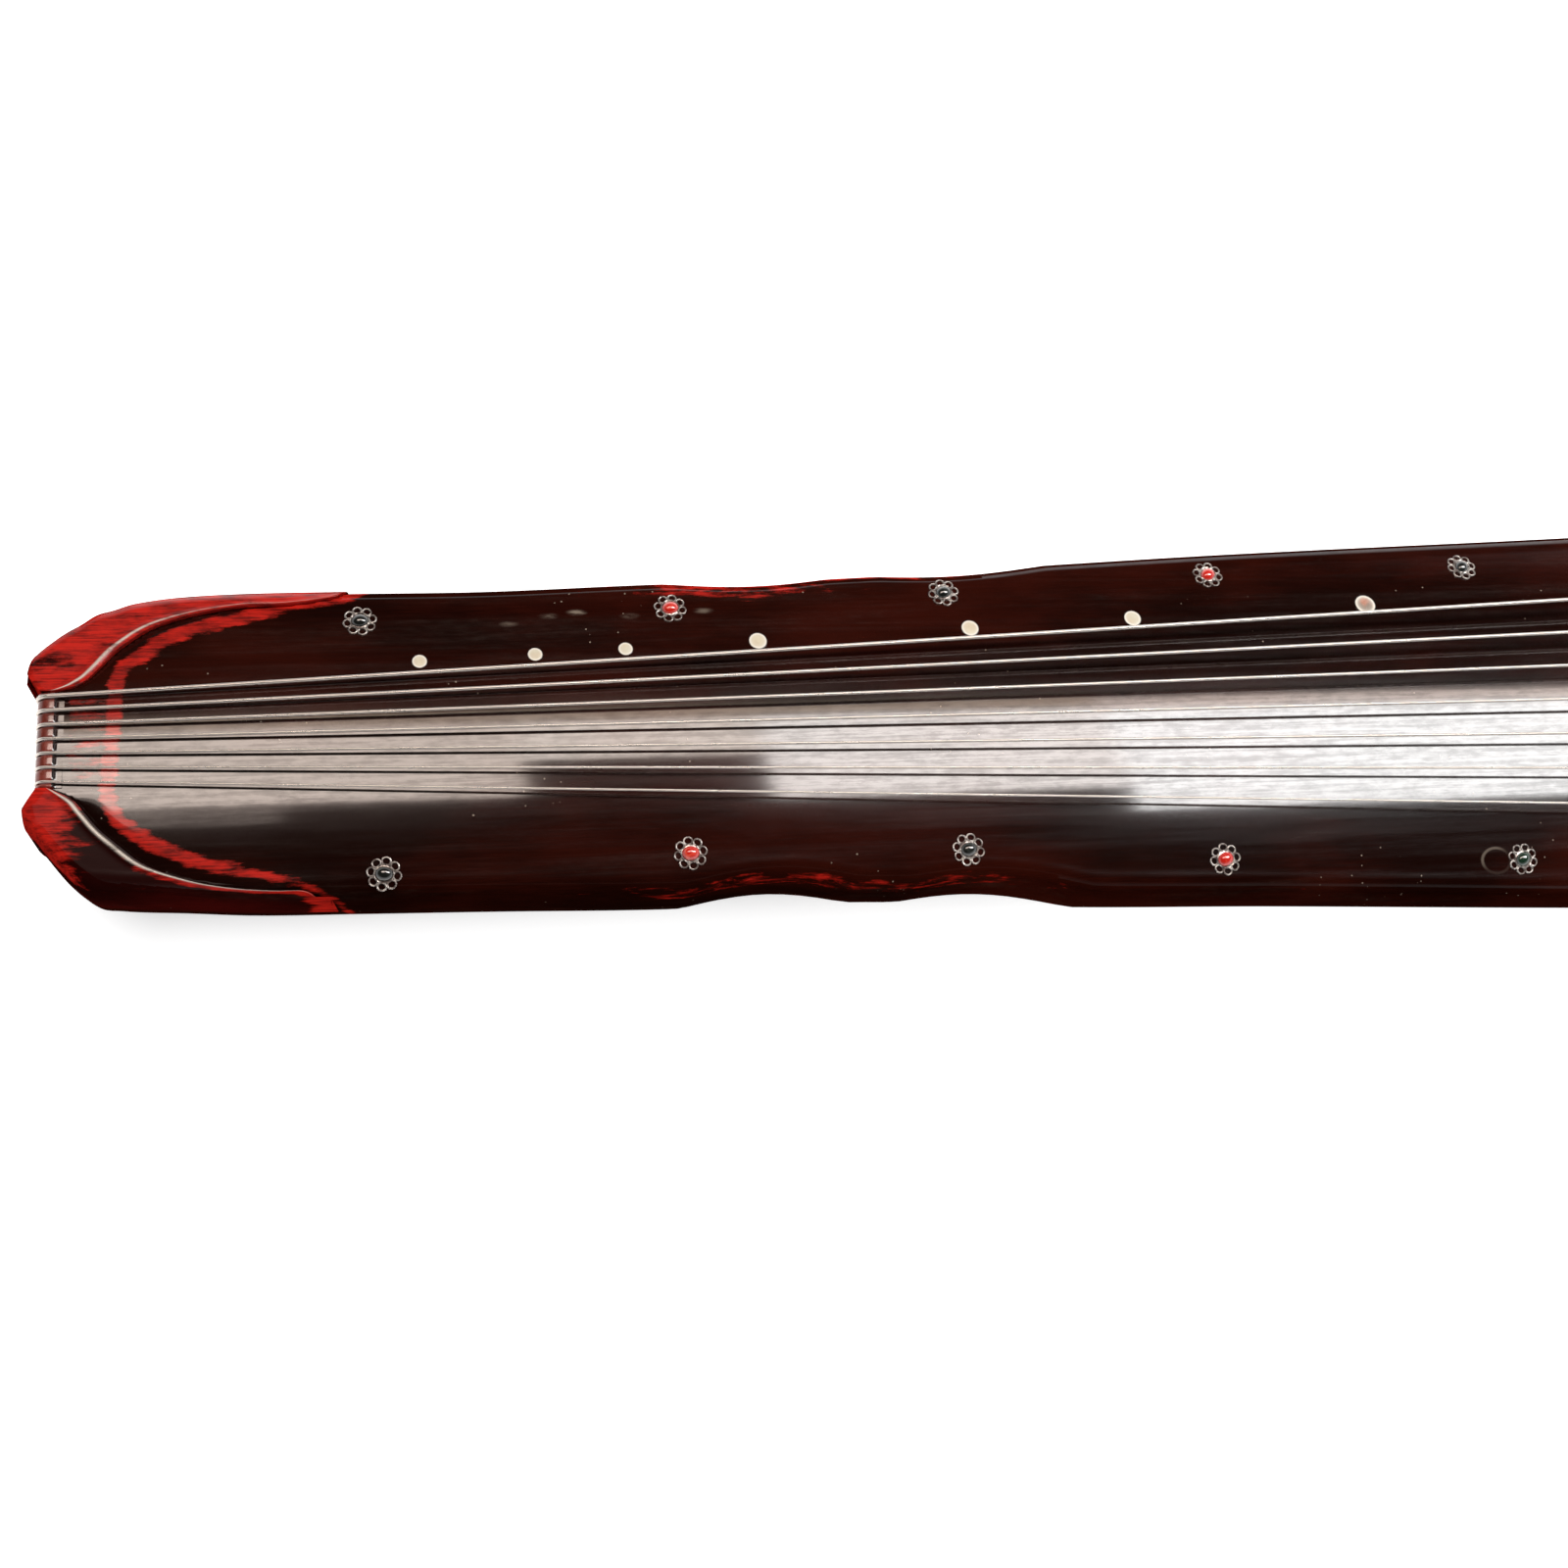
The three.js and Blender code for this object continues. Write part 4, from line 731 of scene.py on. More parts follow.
near_flank = eased(-across, 45, 60)
worn = bell(from_line, WORN_WIDTH - 0.9 * near_flank, 2.2) * (0.80 - 0.27 * near_flank) * (along < 140)
between_strings = eased(along, 2, 7) * (from_line < 0) * (1 - eased(np.abs(across), 14, 22)) * (along < 40)
on_edge = bell(np.clip(flank - np.abs(across), 0, None), 3.2) * (up > 30)
waist = bell(along - 300, 95, 4)
for other in (0.8 * (along < -6) * (np.abs(across) > NUT_SPACE), 0.40 * between_strings,
              on_edge * (np.where(across > 0, 0.58, 0.26) * waist + 0.14),
              0.5 * bell(along - 268, 60) * bell(across - 62, 5)):
    worn = np.maximum(worn, other)
upright = eased(unrolled * np.sign(across) - np.abs(across), 0.0, 0.5)
board_finishes = [dark_lacquer, bare_wood, dull_lacquer]
piece("lacquered_top_board", slab_mesh(over, under, keep, {"rub": worn, "side": upright}), board_finishes,
      ["top_board"], smooth=50)


# Bottom board. A flat plank with a rounded lower edge, glued under the top board. It has two long sound
# holes with round corners, the dragon pool and the phoenix pool, and the peg pool across the head.
BOTTOM_THICKNESS = 11.0
POOL_HALF, POOL_CORNER = 13.5, 5.0
PEG_POOL = (1120.5, 25.0)
PEG_POOL_HALF = 78.0
FOOT_COLUMNS, PEG_COLUMNS, POOL_COLUMNS = 7, 4, 11


def pool_edge(along, start, length, half, corner):
    """Half width of a pool at a place: full, with a quarter round at each end, easing back outside it."""
    inside = np.minimum(along - start, start + length - along)
    turned = half - corner + np.sqrt(np.clip(corner**2 - (corner - np.clip(inside, 0, corner)) ** 2, 0, None))
    return np.where(inside >= 0, turned, half - corner * (1 - eased(-inside, 0, 2 * corner)))


round_in = POOL_CORNER * (1 - np.cos(quarter(7)))
pool_places = [place for start, length in (*POOLS, PEG_POOL)
               for place in (*(start + round_in), *(start + length - round_in), start - 4, start + length + 4)]
edge_rows = np.concatenate([np.arange(-TAIL_REACH, 62, 2.5), np.arange(62, HEAD_END - 6, 7.0), near_ends,
                            [BOARD_END], pool_places])
places = np.unique(np.round(edge_rows, 3))
long_edge = np.full_like(places, POOL_HALF)
for start, length in POOLS:
    near_pool = (places > start - 12) & (places < start + length + 12)
    long_edge[near_pool] = pool_edge(places[near_pool], start, length, POOL_HALF, POOL_CORNER)
long_edge = np.where(places < 100, POOL_HALF + (NUT_SPACE - POOL_HALF) * (1 - eased(places, 30, 95)), long_edge)
peg_edge = pool_edge(places, *PEG_POOL, PEG_POOL_HALF, POOL_CORNER)


def half_underside(side):
    """Across and up from the seam down the leaning side, round the foot and in to the centre line."""
    half = half_width(places, side)[:, None]
    levels = np.array([BOTTOM_THICKNESS, 9.0, 6.5, 4.0, 2.4, 1.2, 0.4, 0.0])
    sides = half - side_inset(levels)
    sides[:, 3:] -= np.array([0, 0.1, 0.35, 0.8, 1.3])
    foot = sides[:, -1:]
    peg = np.where(places[:, None] > 1090, np.minimum(peg_edge[:, None], foot - 3), 0.86 * foot)
    pool = np.minimum(long_edge[:, None], 0.8 * peg)
    at_end = places[:, None] < 0
    pool = np.where(at_end, np.minimum(NUT_SPACE, foot - 1), pool)
    peg = np.where(at_end, (foot + pool) / 2, peg)
    across = np.concatenate([sides, foot + (peg - foot) * shares(PEG_COLUMNS),
                             peg + (pool - peg) * shares(POOL_COLUMNS), pool * (1 - shares(4))], 1)
    up = np.zeros_like(across)
    up[:, :len(levels)] = levels
    return across, up


across, up, along = both_halves(half_underside)
far_edge, near_edge = across[:, :1], across[:, -1:]
top_edge = np.where(across > 0, far_edge, -near_edge)
upper = np.concatenate([np.repeat(far_edge, FOOT_COLUMNS, 1), across[:, FOOT_COLUMNS:-FOOT_COLUMNS],
                        np.repeat(near_edge, FOOT_COLUMNS, 1)], 1)
middle_along = (places[:-1] + places[1:])[:, None] / 2
middle_across = (across[:-1, :-1] + across[1:, 1:]) / 2
keep = ~((middle_along < BOARD_END) & (np.abs(middle_across) < NUT_SPACE))
columns = np.arange(keep.shape[1])
from_edge = np.minimum(columns, columns[::-1])
in_foot = FOOT_COLUMNS + PEG_COLUMNS
for start, length, first in (*((*pool, in_foot + POOL_COLUMNS) for pool in POOLS), (*PEG_POOL, in_foot)):
    keep &= ~((middle_along > start) & (middle_along < start + length) & (from_edge >= first))
across = clear_of_nut(along, across, top_edge - 1.5)
to_foot = np.minimum(np.abs(far_edge - across), np.abs(across - near_edge))
over = stacked(along, clear_of_nut(along, upper, top_edge), BOTTOM_THICKNESS)
mesh = slab_mesh(stacked(along, across, up)[:, ::-1], over[:, ::-1], keep[:, ::-1],
                 {"rub": 0.34 * bell(to_foot, 4)[:, ::-1], "side": to_foot < 3.0})
piece("lacquered_bottom_board", mesh, board_finishes, ["bottom_board"])


# Inside the chamber. A round heaven post and a square earth post stand between the boards, and two blocks
# take the tenons of the feet. They are bare planed wood, glued in before the boards were closed.
def faced(node, finish):
    """A solid of the frame shown as it is, in a finish."""
    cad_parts[node].data.materials.clear()
    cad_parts[node].data.materials.append(finish)


for node in ("heaven_post", "earth_post", "foot_socket_near", "foot_socket_far"):
    faced(node, bare_wood)


# Tail corners. Two raised pieces let into the tail on either side of the nut, lacquered red under brown and
# rubbed back, each with a rounded ridge along its inner edge and a pale painted highlight along that ridge.
CORNER_PROUD = 2.2
RIDGE_ROUND, RIDGE_PLACE, RIDGE_FALL = 3.2, 2.2, 0.45
NUT_REACH = 5.0
DEEP_RED = (0.19, 0.009, 0.007, 1)
BROWN_OVER_RED = (0.014, 0.0016, 0.0012, 1)
THIN_OVER_RED = (0.060, 0.0040, 0.0030, 1)
red_tones = {**dark_tones, "Lacquer": BROWN_OVER_RED, "Undercoat": THIN_OVER_RED, "Worn Dark": DEEP_RED}
red_lacquer = lacquered("red_lacquer", 0.7, red_tones, Coat_Roughness=0.14, Specular_IOR_Level=0.1)
dull_red = lacquered("dull_red_lacquer", 0.0, red_tones, Specular_IOR_Level=0.0)
HORN_STEPS, FLANK_STEPS, LINE_POINTS = 40, 60, 150
SHORT_CORNER = 22


def walked(line, at):
    """Points of a line at shares of its length."""
    run = np.concatenate([[0], np.cumsum(np.linalg.norm(np.diff(line, axis=0), axis=1))])
    return np.stack([np.interp(at * run[-1], run, column) for column in line.T], 1)


for name, side in (("near", -1), ("far", 1)):
    inner_edge = corner_edge(side)
    end = inner_edge[-1, 0]
    outline = np.concatenate([np.linspace(HORN_END, 8, HORN_STEPS)[:-1], np.linspace(8, end, FLANK_STEPS)])
    horn = [[-NUT_REACH, NUT_SPACE], [HORN_END, NUT_SPACE + HORN_SLANT * (BOARD_END - HORN_END)]]
    outer_edge = np.concatenate([horn, np.stack([outline, half_width(outline, side)], 1)])
    inner, outer = (walked(line, np.linspace(0, 1, LINE_POINTS)) for line in (inner_edge, outer_edge))
    inner[:, 1] = np.minimum(inner[:, 1], half_width(inner[:, 0], side) - 0.05)
    length = np.linalg.norm(outer - inner, axis=1)[:, None]
    shrink = np.minimum(1, length / SHORT_CORNER)
    from_inner = np.array([0, 0, 0.12, 0.4, 0.8, 1.2, 1.6, 1.9, 2.2, 2.5, 2.8, 3.2, 3.8, 4.6, 5.6]) * shrink
    from_outer = 7 * (1 - np.cos(quarter(9)[::-1])) * shrink
    plain = from_inner[:, -1:] + (length - from_outer[:, :1] - from_inner[:, -1:]) * shares(11)[:-1]
    out = np.concatenate([from_inner, plain, length - from_outer], 1)
    way = (outer - inner) / np.maximum(length, 1e-6)
    along, across = (inner[:, axis:axis + 1] + out * way[:, axis:axis + 1] for axis in (0, 1))
    up = skin_height(along, across, side) + CORNER_PROUD
    rolled = RIDGE_ROUND - np.sqrt(RIDGE_ROUND**2 - np.clip(RIDGE_PLACE - out / shrink, 0, None) ** 2)
    up = up - (rolled + RIDGE_FALL * eased(out / shrink, RIDGE_PLACE, 5.5)) * shrink
    met = inner[np.argmax(length[:, 0] < 1.0), 0]
    up = up + (CORNER_HEIGHT + 0.4 - up) * np.clip((inner[:, :1] - met) / (end - met), 0, 1)
    up[:, 0] = CORNER_HEIGHT
    along, across, out = (np.pad(grid, ((0, 0), (0, 3)), "edge") for grid in (along, across, out))
    drop = np.array([0.34, 0.67, 1.0])
    up = np.concatenate([up, up[:, -1:] + (CORNER_HEIGHT - up[:, -1:]) * drop], 1)
    over_side = np.append(np.zeros(out.shape[1] - 3), 25 * drop) + 0 * out
    at_end = eased(along, 84, 98)
    rub = 0.70 - 0.42 * bell(along + 1, 9) * bell(across - 32, 3)
    if side < 0:
        past_ridge = np.clip(out + over_side / 4 - 2.6 * shrink, 0, None)
        under_ridge = bell(past_ridge, 3.8, 4) * (out > 2.3 * shrink)
        rub = 0.20 + 0.55 * bell(along + 4, 13)
        for other in (0.60 * bell(length - out, 6) * (1 - eased(along, 6, 24)),
                      0.64 * under_ridge * eased(along, 12, 40), 0.75 * at_end):
            rub = np.maximum(rub, other)
        rub = rub - 0.5 * eased(over_side, 3, 12) * (1 - at_end)
    rub = rub - 0.35 * eased(out - length, -2.2, -0.2) * eased(along, 30, 50) * (side > 0)
    # Edge mask: a pale painted highlight along the ridge's crest, which fades towards the head on the far
    # corner.
    crest = bell(out / shrink - 1.9, 0.55 if side > 0 else 0.8, 3) * eased(length, 3, 8)
    edge = crest * (1.0 - 0.75 * eased(along, 25, 60) * (side > 0))
    upright = np.maximum(eased(over_side, 0, 6), 0.95 * eased(out - length, -5.2, -2.6))
    if side < 0:
        for other in (0.85 * eased(out / shrink, 3, 5), 0.95 * eased(out - length, -8.0, -5.0)):
            upright = np.maximum(upright, other)
    mesh = grid_mesh(stacked(along, side * across, up), masks={"rub": rub, "edge": edge, "side": upright})
    dull = np.ones(len(mesh.polygons), np.int32)
    dull[:upright[1:].size] = (upright[1:] > 0.9).ravel()
    mesh.polygons.foreach_set("material_index", dull)
    piece(f"lacquered_tail_corner_{name}", mesh, [red_lacquer, dull_red],
          [f"tail_corner_{name}"], smooth=40)


# Tail nut and its rest. The nut is a bar of dark hardwood between the corners, rounded where the strings
# bend down the end, with a shallow groove for each string. The rest below it turns them under the body.
NUT_HALF, NUT_FRONT, NUT_LOW, NUT_PROUD, NUT_SEEN_FROM = 19.5, 4.0, 28.0, 0.9, 0.6
REST_FRONT, REST_TOP, GROOVE_DEPTH = 16.0, 13.0, 0.55
hard_wood, tree = finish("dark_hardwood")
pores = clouds(tree, (500, 60, 500), 5.0, 0.65, 0.3)
wood_colour = blended(clouds(tree, (30, 12, 30)), (0.040, 0.012, 0.008, 1), (0.080, 0.025, 0.014, 1))
dress(tree, Base_Color=blended(between(pores, 0.45, 0.75), wood_colour, (0.012, 0.005, 0.004, 1)),
      Roughness=between(pores, 0.3, 0.8, 0.28, 0.46), height=pores, rise=0.00008, Coat_Weight=0.2,
      Coat_Roughness=0.2, Specular_IOR_Level=0.3)
nut_wood, tree = finish("lacquered_hardwood")
rubbed = clouds(tree, (120, 60, 120), 5.0, 0.65, 0.3)
dress(tree, Base_Color=blended(between(rubbed, 0.38, 0.62), (0.11, 0.018, 0.012, 1), (0.26, 0.052, 0.036, 1)),
      Roughness=between(rubbed, 0.3, 0.8, 0.2, 0.36), height=rubbed, rise=0.00006, Coat_Weight=1.0,
      Coat_Roughness=0.12)


def grooves(across, at, half):
    """1 in the middle of each string's groove, falling off as a bell as wide as the string."""
    return np.max(bell(across[..., None] - at, half), axis=-1)


def bar_across(outline, outward):
    """A bar drawn across the tail: each row of the grid is the side profile, pulled in along its outward
    direction at the strings' grooves and a little at both ends."""
    across = np.unique([*np.linspace(-NUT_HALF, NUT_HALF, 160), NUT_HALF - 0.4, 0.4 - NUT_HALF])
    pulled = GROOVE_DEPTH * grooves(across, at_nut(STRINGS), 0.85)
    pulled = pulled + 0.5 * eased(np.abs(across), NUT_HALF - 0.5, NUT_HALF)
    section = outline - pulled[:, None, None] * outward
    return grid_mesh(stacked(section[..., 0], across[:, None], section[..., 1]))


swing = quarter(10)
sine, cosine = np.sin(swing), np.cos(swing)
crest = NUT_CREST + 0.45
turn, low = NUT_ROUND + 0.35, NUT_ROUND - REST_PROUD
tail_face = -NUT_REACH - 0.35
nut_line = np.concatenate([
    [[NUT_FRONT, NUT_LOW], [NUT_FRONT, BODY_HEIGHT + 0.03], [2.4, BODY_HEIGHT + 0.05],
     [1.7, BODY_HEIGHT + 0.2], [1.1, crest - 0.6], [0.5, crest - 0.12], [-0.3, crest]],
    np.stack([NUT_TURN - (turn + NUT_PROUD) * sine, NUT_CREST - NUT_ROUND + turn * cosine], 1),
    [[tail_face - NUT_PROUD, NUT_LOW]]])
nut_out = np.concatenate([
    np.stack([np.zeros(7), [0, 0, 0, 0, 0.5, 0.9, 1]], 1), np.stack([-1.7 * sine, cosine], 1), [[-1.7, 0]]])
nut = bar_across(nut_line, nut_out)
middles = np.empty(3 * len(nut.polygons))
nut.polygons.foreach_get("center", middles)
in_board = middles[::3] * 1000 + NUT_FROM_MIDDLE > NUT_SEEN_FROM
nut.polygons.foreach_set("material_index", in_board.astype(np.int32))
piece("grooved_tail_nut", nut, [nut_wood, dark_lacquer], ["tail_nut"], smooth=60)
rest_line = np.concatenate([[[tail_face, REST_TOP]], np.stack([NUT_TURN - turn * cosine, low - turn * sine], 1),
                            [[REST_FRONT, low - turn], [REST_FRONT, REST_TOP]]])
rest_out = np.concatenate([[[-1, 0]], -np.stack([cosine, sine], 1), [[0, -1], [0, 0]]])
piece("grooved_tail_rest", bar_across(rest_line, rest_out), [hard_wood], ["tail_nut_rest"],
      smooth=60)


# Bridge. A tapered bar of dark hardwood glued across the head. Its crowned top has a groove for each string,
# its ends are rounded, and its foot follows the arch of the board.
BRIDGE_HALF = SPAN_AT_BRIDGE / 2 + 12
BRIDGE_FRONT, BRIDGE_BACK = 5.5, 11.0
BRIDGE_END_ROUND = 5.0
end_round = BRIDGE_HALF - BRIDGE_END_ROUND * (1 - cosine)
across = np.unique([*np.linspace(-BRIDGE_HALF, BRIDGE_HALF, 420), *end_round, *-end_round])[:, None]
to_end = np.clip(BRIDGE_HALF - np.abs(across), 0, BRIDGE_END_ROUND)
fall = BRIDGE_END_ROUND - np.sqrt(BRIDGE_END_ROUND**2 - (BRIDGE_END_ROUND - to_end) ** 2)
saddle = bridge_top(across) - fall + 0.5 - 0.25 * grooves(across, at_bridge(STRINGS), 0.9)
foot_front, foot_back = arched(SCALE, across), arched(SCALE + BRIDGE_BACK, across)
shape_x = np.array([-BRIDGE_FRONT, -BRIDGE_FRONT + 0.5, -2.4, -0.6, 0.3, 1.5, 3, 4.5, 5.7, 6.6, 8.4, 10.6,
                    BRIDGE_BACK])
shape_up = np.array([0, 0.10, 0.5, 0.86, 0.965, 1, 1, 1, 0.965, 0.86, 0.5, 0.1, 0])
foot = foot_front + (foot_back - foot_front) * ((shape_x + BRIDGE_FRONT) / (BRIDGE_FRONT + BRIDGE_BACK))
rings = stacked(SCALE + shape_x, across, foot + (saddle - foot) * shape_up)
piece("crowned_bridge", grid_mesh(rings), [hard_wood], ["bridge"], smooth=55)


# String hole strip. A thin strip of the same wood bent to the arch behind the bridge, drilled for the cords.
STRIP_START, STRIP_WIDTH, STRIP_LIFT, STRIP_THICK = 1121.5, 24.0, 0.3, 2.6
STRIP_ROUND, HOLE_ROUND, HOLE_PATCH = 0.5, 0.6, 5.6
strip_end, hole_radius = STRIP_START + STRIP_WIDTH, CORD_HOLE / 2
steps_out = np.array([0, 1.35, 2.7, 3.1, 3.6, 4.2, 4.9, HOLE_PATCH])
around_hole = np.concatenate([-steps_out[:0:-1], steps_out])
between_holes = np.array([-1, 1]) * PEG_ROW_SPAN / 12
ends = BRIDGE_HALF - np.array([0, STRIP_ROUND])
across_line = np.concatenate([*(holes[:, None] + around_hole), *(holes[:, None] + between_holes), ends, -ends])
along_line = np.concatenate([HOLE_PLACE + around_hole,
                             [STRIP_START, STRIP_START + STRIP_ROUND, strip_end - STRIP_ROUND, strip_end]])
across_line, along_line = (np.unique(np.round(line, 4)) for line in (across_line, along_line))
along, across = np.meshgrid(along_line, across_line, indexing="ij")
for place in holes:
    aside, ahead_of = across - place, along - HOLE_PLACE
    reach = np.maximum(np.abs(aside), np.abs(ahead_of))
    rounding = np.clip((HOLE_PATCH - reach) / (HOLE_PATCH - hole_radius), 0, 1) * (reach > 0.01)
    pull = 1 + rounding * (reach / np.maximum(np.hypot(aside, ahead_of), 1e-6) - 1)
    across, along = place + aside * pull, HOLE_PLACE + ahead_of * pull
base = arched(along, across) + STRIP_LIFT
inner_rim = np.min(np.hypot(along[..., None] - HOLE_PLACE, across[..., None] - holes), -1)
rolled = 2 - eased(inner_rim, hole_radius, hole_radius + HOLE_ROUND)
rolled = 0.35 * (rolled - eased(np.minimum(along - STRIP_START, strip_end - along), 0, STRIP_ROUND))
middle_a, middle_c = ((line[:-1] + line[1:]) / 2 for line in (along_line, across_line))
drilled = np.min(np.abs(middle_c[:, None] - holes), -1) < hole_radius
drilled = drilled & (np.abs(middle_a[:, None] - HOLE_PLACE) < hole_radius)
slab = slab_mesh(stacked(along, across, base + STRIP_THICK - rolled), stacked(along, across, base), ~drilled)
piece("drilled_strip", slab, [hard_wood], ["string_hole_strip"], smooth=40)


# Peg plate and pegs. A thin hardwood lining closes the roof of the peg pool. Seven turned and fluted pegs
# hang under it, each pulled up by its own cord, which goes into the bore at its top.
PEG_LOW, PEG_FLUTES = -24.0, 8
faced("peg_plate", hard_wood)
peg_shape = np.array([
    (0.02, PEG_TOP - 14), (2.5, PEG_TOP - 14), (2.7, PEG_TOP - 13.8), (2.7, PEG_TOP - 0.3), (2.95, PEG_TOP),
    (4.45, PEG_TOP), (4.75, PEG_TOP - 0.3), (4.7, 3.0), (4.75, 0.3), (5.3, -0.4), (6.45, -1.2), (7.2, -2.2),
    (7.5, -3.3), (7.35, -4.2), (6.5, -4.8), (6.5, -5.2), (6.9, -5.8), (6.9, -6.9), (6.1, -9.0), (5.4, -11.3),
    (5.35, -12.6), (5.8, -14.6), (6.3, -16.4), (6.62, -18.4), (6.6, -20.2), (6.2, -21.6), (5.4, -22.8),
    (4.2, -23.7), (3.0, PEG_LOW), (0.02, PEG_LOW)])
turn = circle(48)
profile = np.concatenate([peg_shape[:9], rounded_route(peg_shape[9:-2], 3), peg_shape[-2:]])
down = -profile[:, 1:]
fluted = 0.045 * eased(down, 7.2, 9.5) * (1 - eased(down, 20.0, 22.5))
radius = profile[:, :1] * (1 - fluted * (0.5 + 0.5 * np.cos(PEG_FLUTES * turn)))
for number in STRINGS:
    rings = stacked(HOLE_PLACE + radius * np.cos(turn), at_peg(number) + radius * np.sin(turn), -down)
    name = f"peg_{number + 1}"
    piece("turned_" + name, grid_mesh(rings), [hard_wood], [name], body=name, smooth=35)


# Peg guards. Two fins of the same wood outside the ends of the peg pool, narrower at the sole, with rounded
# edges. They keep the pegs off the table.
GUARD_HALF, GUARD_THICK, GUARD_SOLE, GUARD_INNER, GUARD_SQUARED = 22.0, 8.0, 0.62, 78.5, 0.42
down_share = np.concatenate([[0, 0.02], np.linspace(0.06, 0.94, 22), [0.97, 0.99, 1]])
taper = GUARD_HALF * (1 - down_share**2 * (1 - GUARD_SOLE))
softened = 1 - 0.05 * (np.clip(down_share - 0.94, 0, 1) / 0.06) ** 2
thick = GUARD_THICK / 2 * (1 - 0.10 * np.sin(np.pi * down_share)) * softened ** 3
plan_x, plan_y = (np.sign(way) * np.abs(way) ** GUARD_SQUARED
                  for way in (np.cos(circle(64)), np.sin(circle(64))))
down = -0.3 - (STAND_HEIGHT - 0.3) * down_share[:, None]
for name, side in (("near", -1), ("far", 1)):
    middle = side * (GUARD_INNER + GUARD_THICK / 2)
    rings = stacked(HOLE_PLACE + (taper * softened)[:, None] * plan_x, middle + thick[:, None] * plan_y, down)
    piece(f"rounded_peg_guard_{name}", grid_mesh(rings), [hard_wood], [f"peg_guard_{name}"],
          smooth=35)


# Goose feet. Two turned hardwood feet under the waist, each with a square tenon in its socket block, a
# collar, a waisted neck that the strings are wound on, and a round sole with two turned lines.
TENON_TOP, TENON_CORNER = 28.0, 1.36
foot_shape = np.array([
    (0.02, TENON_TOP), (7.0, TENON_TOP), (7.5, TENON_TOP - 0.6), (7.5, -0.3), (11.1, -0.3), (11.5, -0.6),
    (11.5, -1.6), (11.2, -2.0), (8.9, -2.15), (8.5, -2.4), (8.5, -23.2), (9.0, -23.5), (11.3, -24.1),
    (12.1, -24.6), (12.2, -24.9), (11.95, -25.1), (12.3, -25.35), (12.5, -25.8), (12.45, -26.3),
    (12.1, -26.8), (11.5, -STAND_HEIGHT), (0.02, -STAND_HEIGHT)])
turn = circle(64) + np.pi / 64
squareness = np.minimum(1 / np.maximum(np.abs(np.cos(turn)), np.abs(np.sin(turn))), TENON_CORNER)
on_tenon = (foot_shape[:, 1:] >= -0.3) & (foot_shape[:, :1] < 8)
radius = foot_shape[:, :1] * np.where(on_tenon, squareness, 1)
for name, side in (("near", -1), ("far", 1)):
    rings = stacked(FOOT_PLACE + radius * np.cos(turn), side * FOOT_AXIS + radius * np.sin(turn),
                    foot_shape[:, 1:])
    piece(f"turned_foot_{name}", grid_mesh(rings), [hard_wood], [f"goose_foot_{name}"], smooth=35)


# Position markers. Thirteen thin discs of shell let into the far side of the board, the middle one largest,
# each a little domed by polishing and bedded in a ring of lacquer. The middle one has a painted reflection: its
# face is darker, in clouds of grey and pink.
HUI_SHARES = np.array([1 / 8, 1 / 6, 1 / 5, 1 / 4, 1 / 3, 2 / 5, 1 / 2,
                       3 / 5, 2 / 3, 3 / 4, 4 / 5, 5 / 6, 7 / 8])
HUI_SIZES = np.array([6.3, 6.3, 6.3, 8, 8, 8, 10, 8, 8, 8, 6.3, 6.3, 6.3])
HUI_OFFSET, HUI_OFFSET_SHARE, HUI_THICK = 6.35, 0.0034, 1.2
shell, tree = finish("polished_shell")
growth = clouds(tree, (260, 140, 200), 3.0, 0.5, 1.2)
sheen = clouds(tree, (90, 90, 90), 2.0)
pale = blended(between(growth, 0.35, 0.65), (0.72, 0.66, 0.50, 1), (0.62, 0.53, 0.39, 1))
tinted = blended(between(sheen, 0.5, 0.7, 0, 0.5), pale, (0.70, 0.74, 0.65, 1))
# A painted reflection for the middle marker: clouds of grey and pink in place of its pale shell.
painted_reflection_tone = blended(between(sheen, 0.42, 0.58), (0.30, 0.25, 0.21, 1), (0.50, 0.25, 0.18, 1))
worked = blended(mask_of(tree, "rim"), blended(mask_of(tree, "painted_reflection"), tinted, painted_reflection_tone), (0.84, 0.81, 0.72, 1))
dress(tree, Base_Color=blended(mask_of(tree, "bed"), worked, (0.006, 0.002, 0.0015, 1)), Coat_Weight=0.5,
      Roughness=between(growth, 0.3, 0.7, 0.2, 0.34), height=growth, rise=0.00003, Coat_Roughness=0.08)
dome = np.array([(0.02, -HUI_THICK), (0.97, -HUI_THICK), (1.0, -HUI_THICK + 0.1), (1.0, 0.02), (0.975, 0.10),
                 (0.93, 0.14), (0.91, 0.15), (0.88, 0.15), (0.8, 0.17), (0.6, 0.21), (0.3, 0.235),
                 (0.02, 0.24)])


def laid_on_arch(along, across, around_along, around_across, above_board):
    """Places of a small piece bedded on the arch: its own plan turned with the slope of the board there."""
    tilt = -np.arctan(across / ARCH_RADIUS)
    return stacked(along + around_along, across + around_across * np.cos(tilt) - above_board * np.sin(tilt),
                   arched(along, across) + around_across * np.sin(tilt) + above_board * np.cos(tilt))


def turned_on_arch(along, across, profile, steps, long_half=1.0, wide_half=1.0, lean=0.0):
    """Rings of a form turned from a profile of radius and height on the arch, oval by its two halves, with
    the long one leaning away from the board's length."""
    long_way, wide_way = (profile[:, :1] * half * way for half, way in (
        (long_half, np.cos(circle(steps))), (wide_half, np.sin(circle(steps)))))
    return laid_on_arch(along, across, long_way * np.cos(lean) - wide_way * np.sin(lean),
                        long_way * np.sin(lean) + wide_way * np.cos(lean), profile[:, 1:])


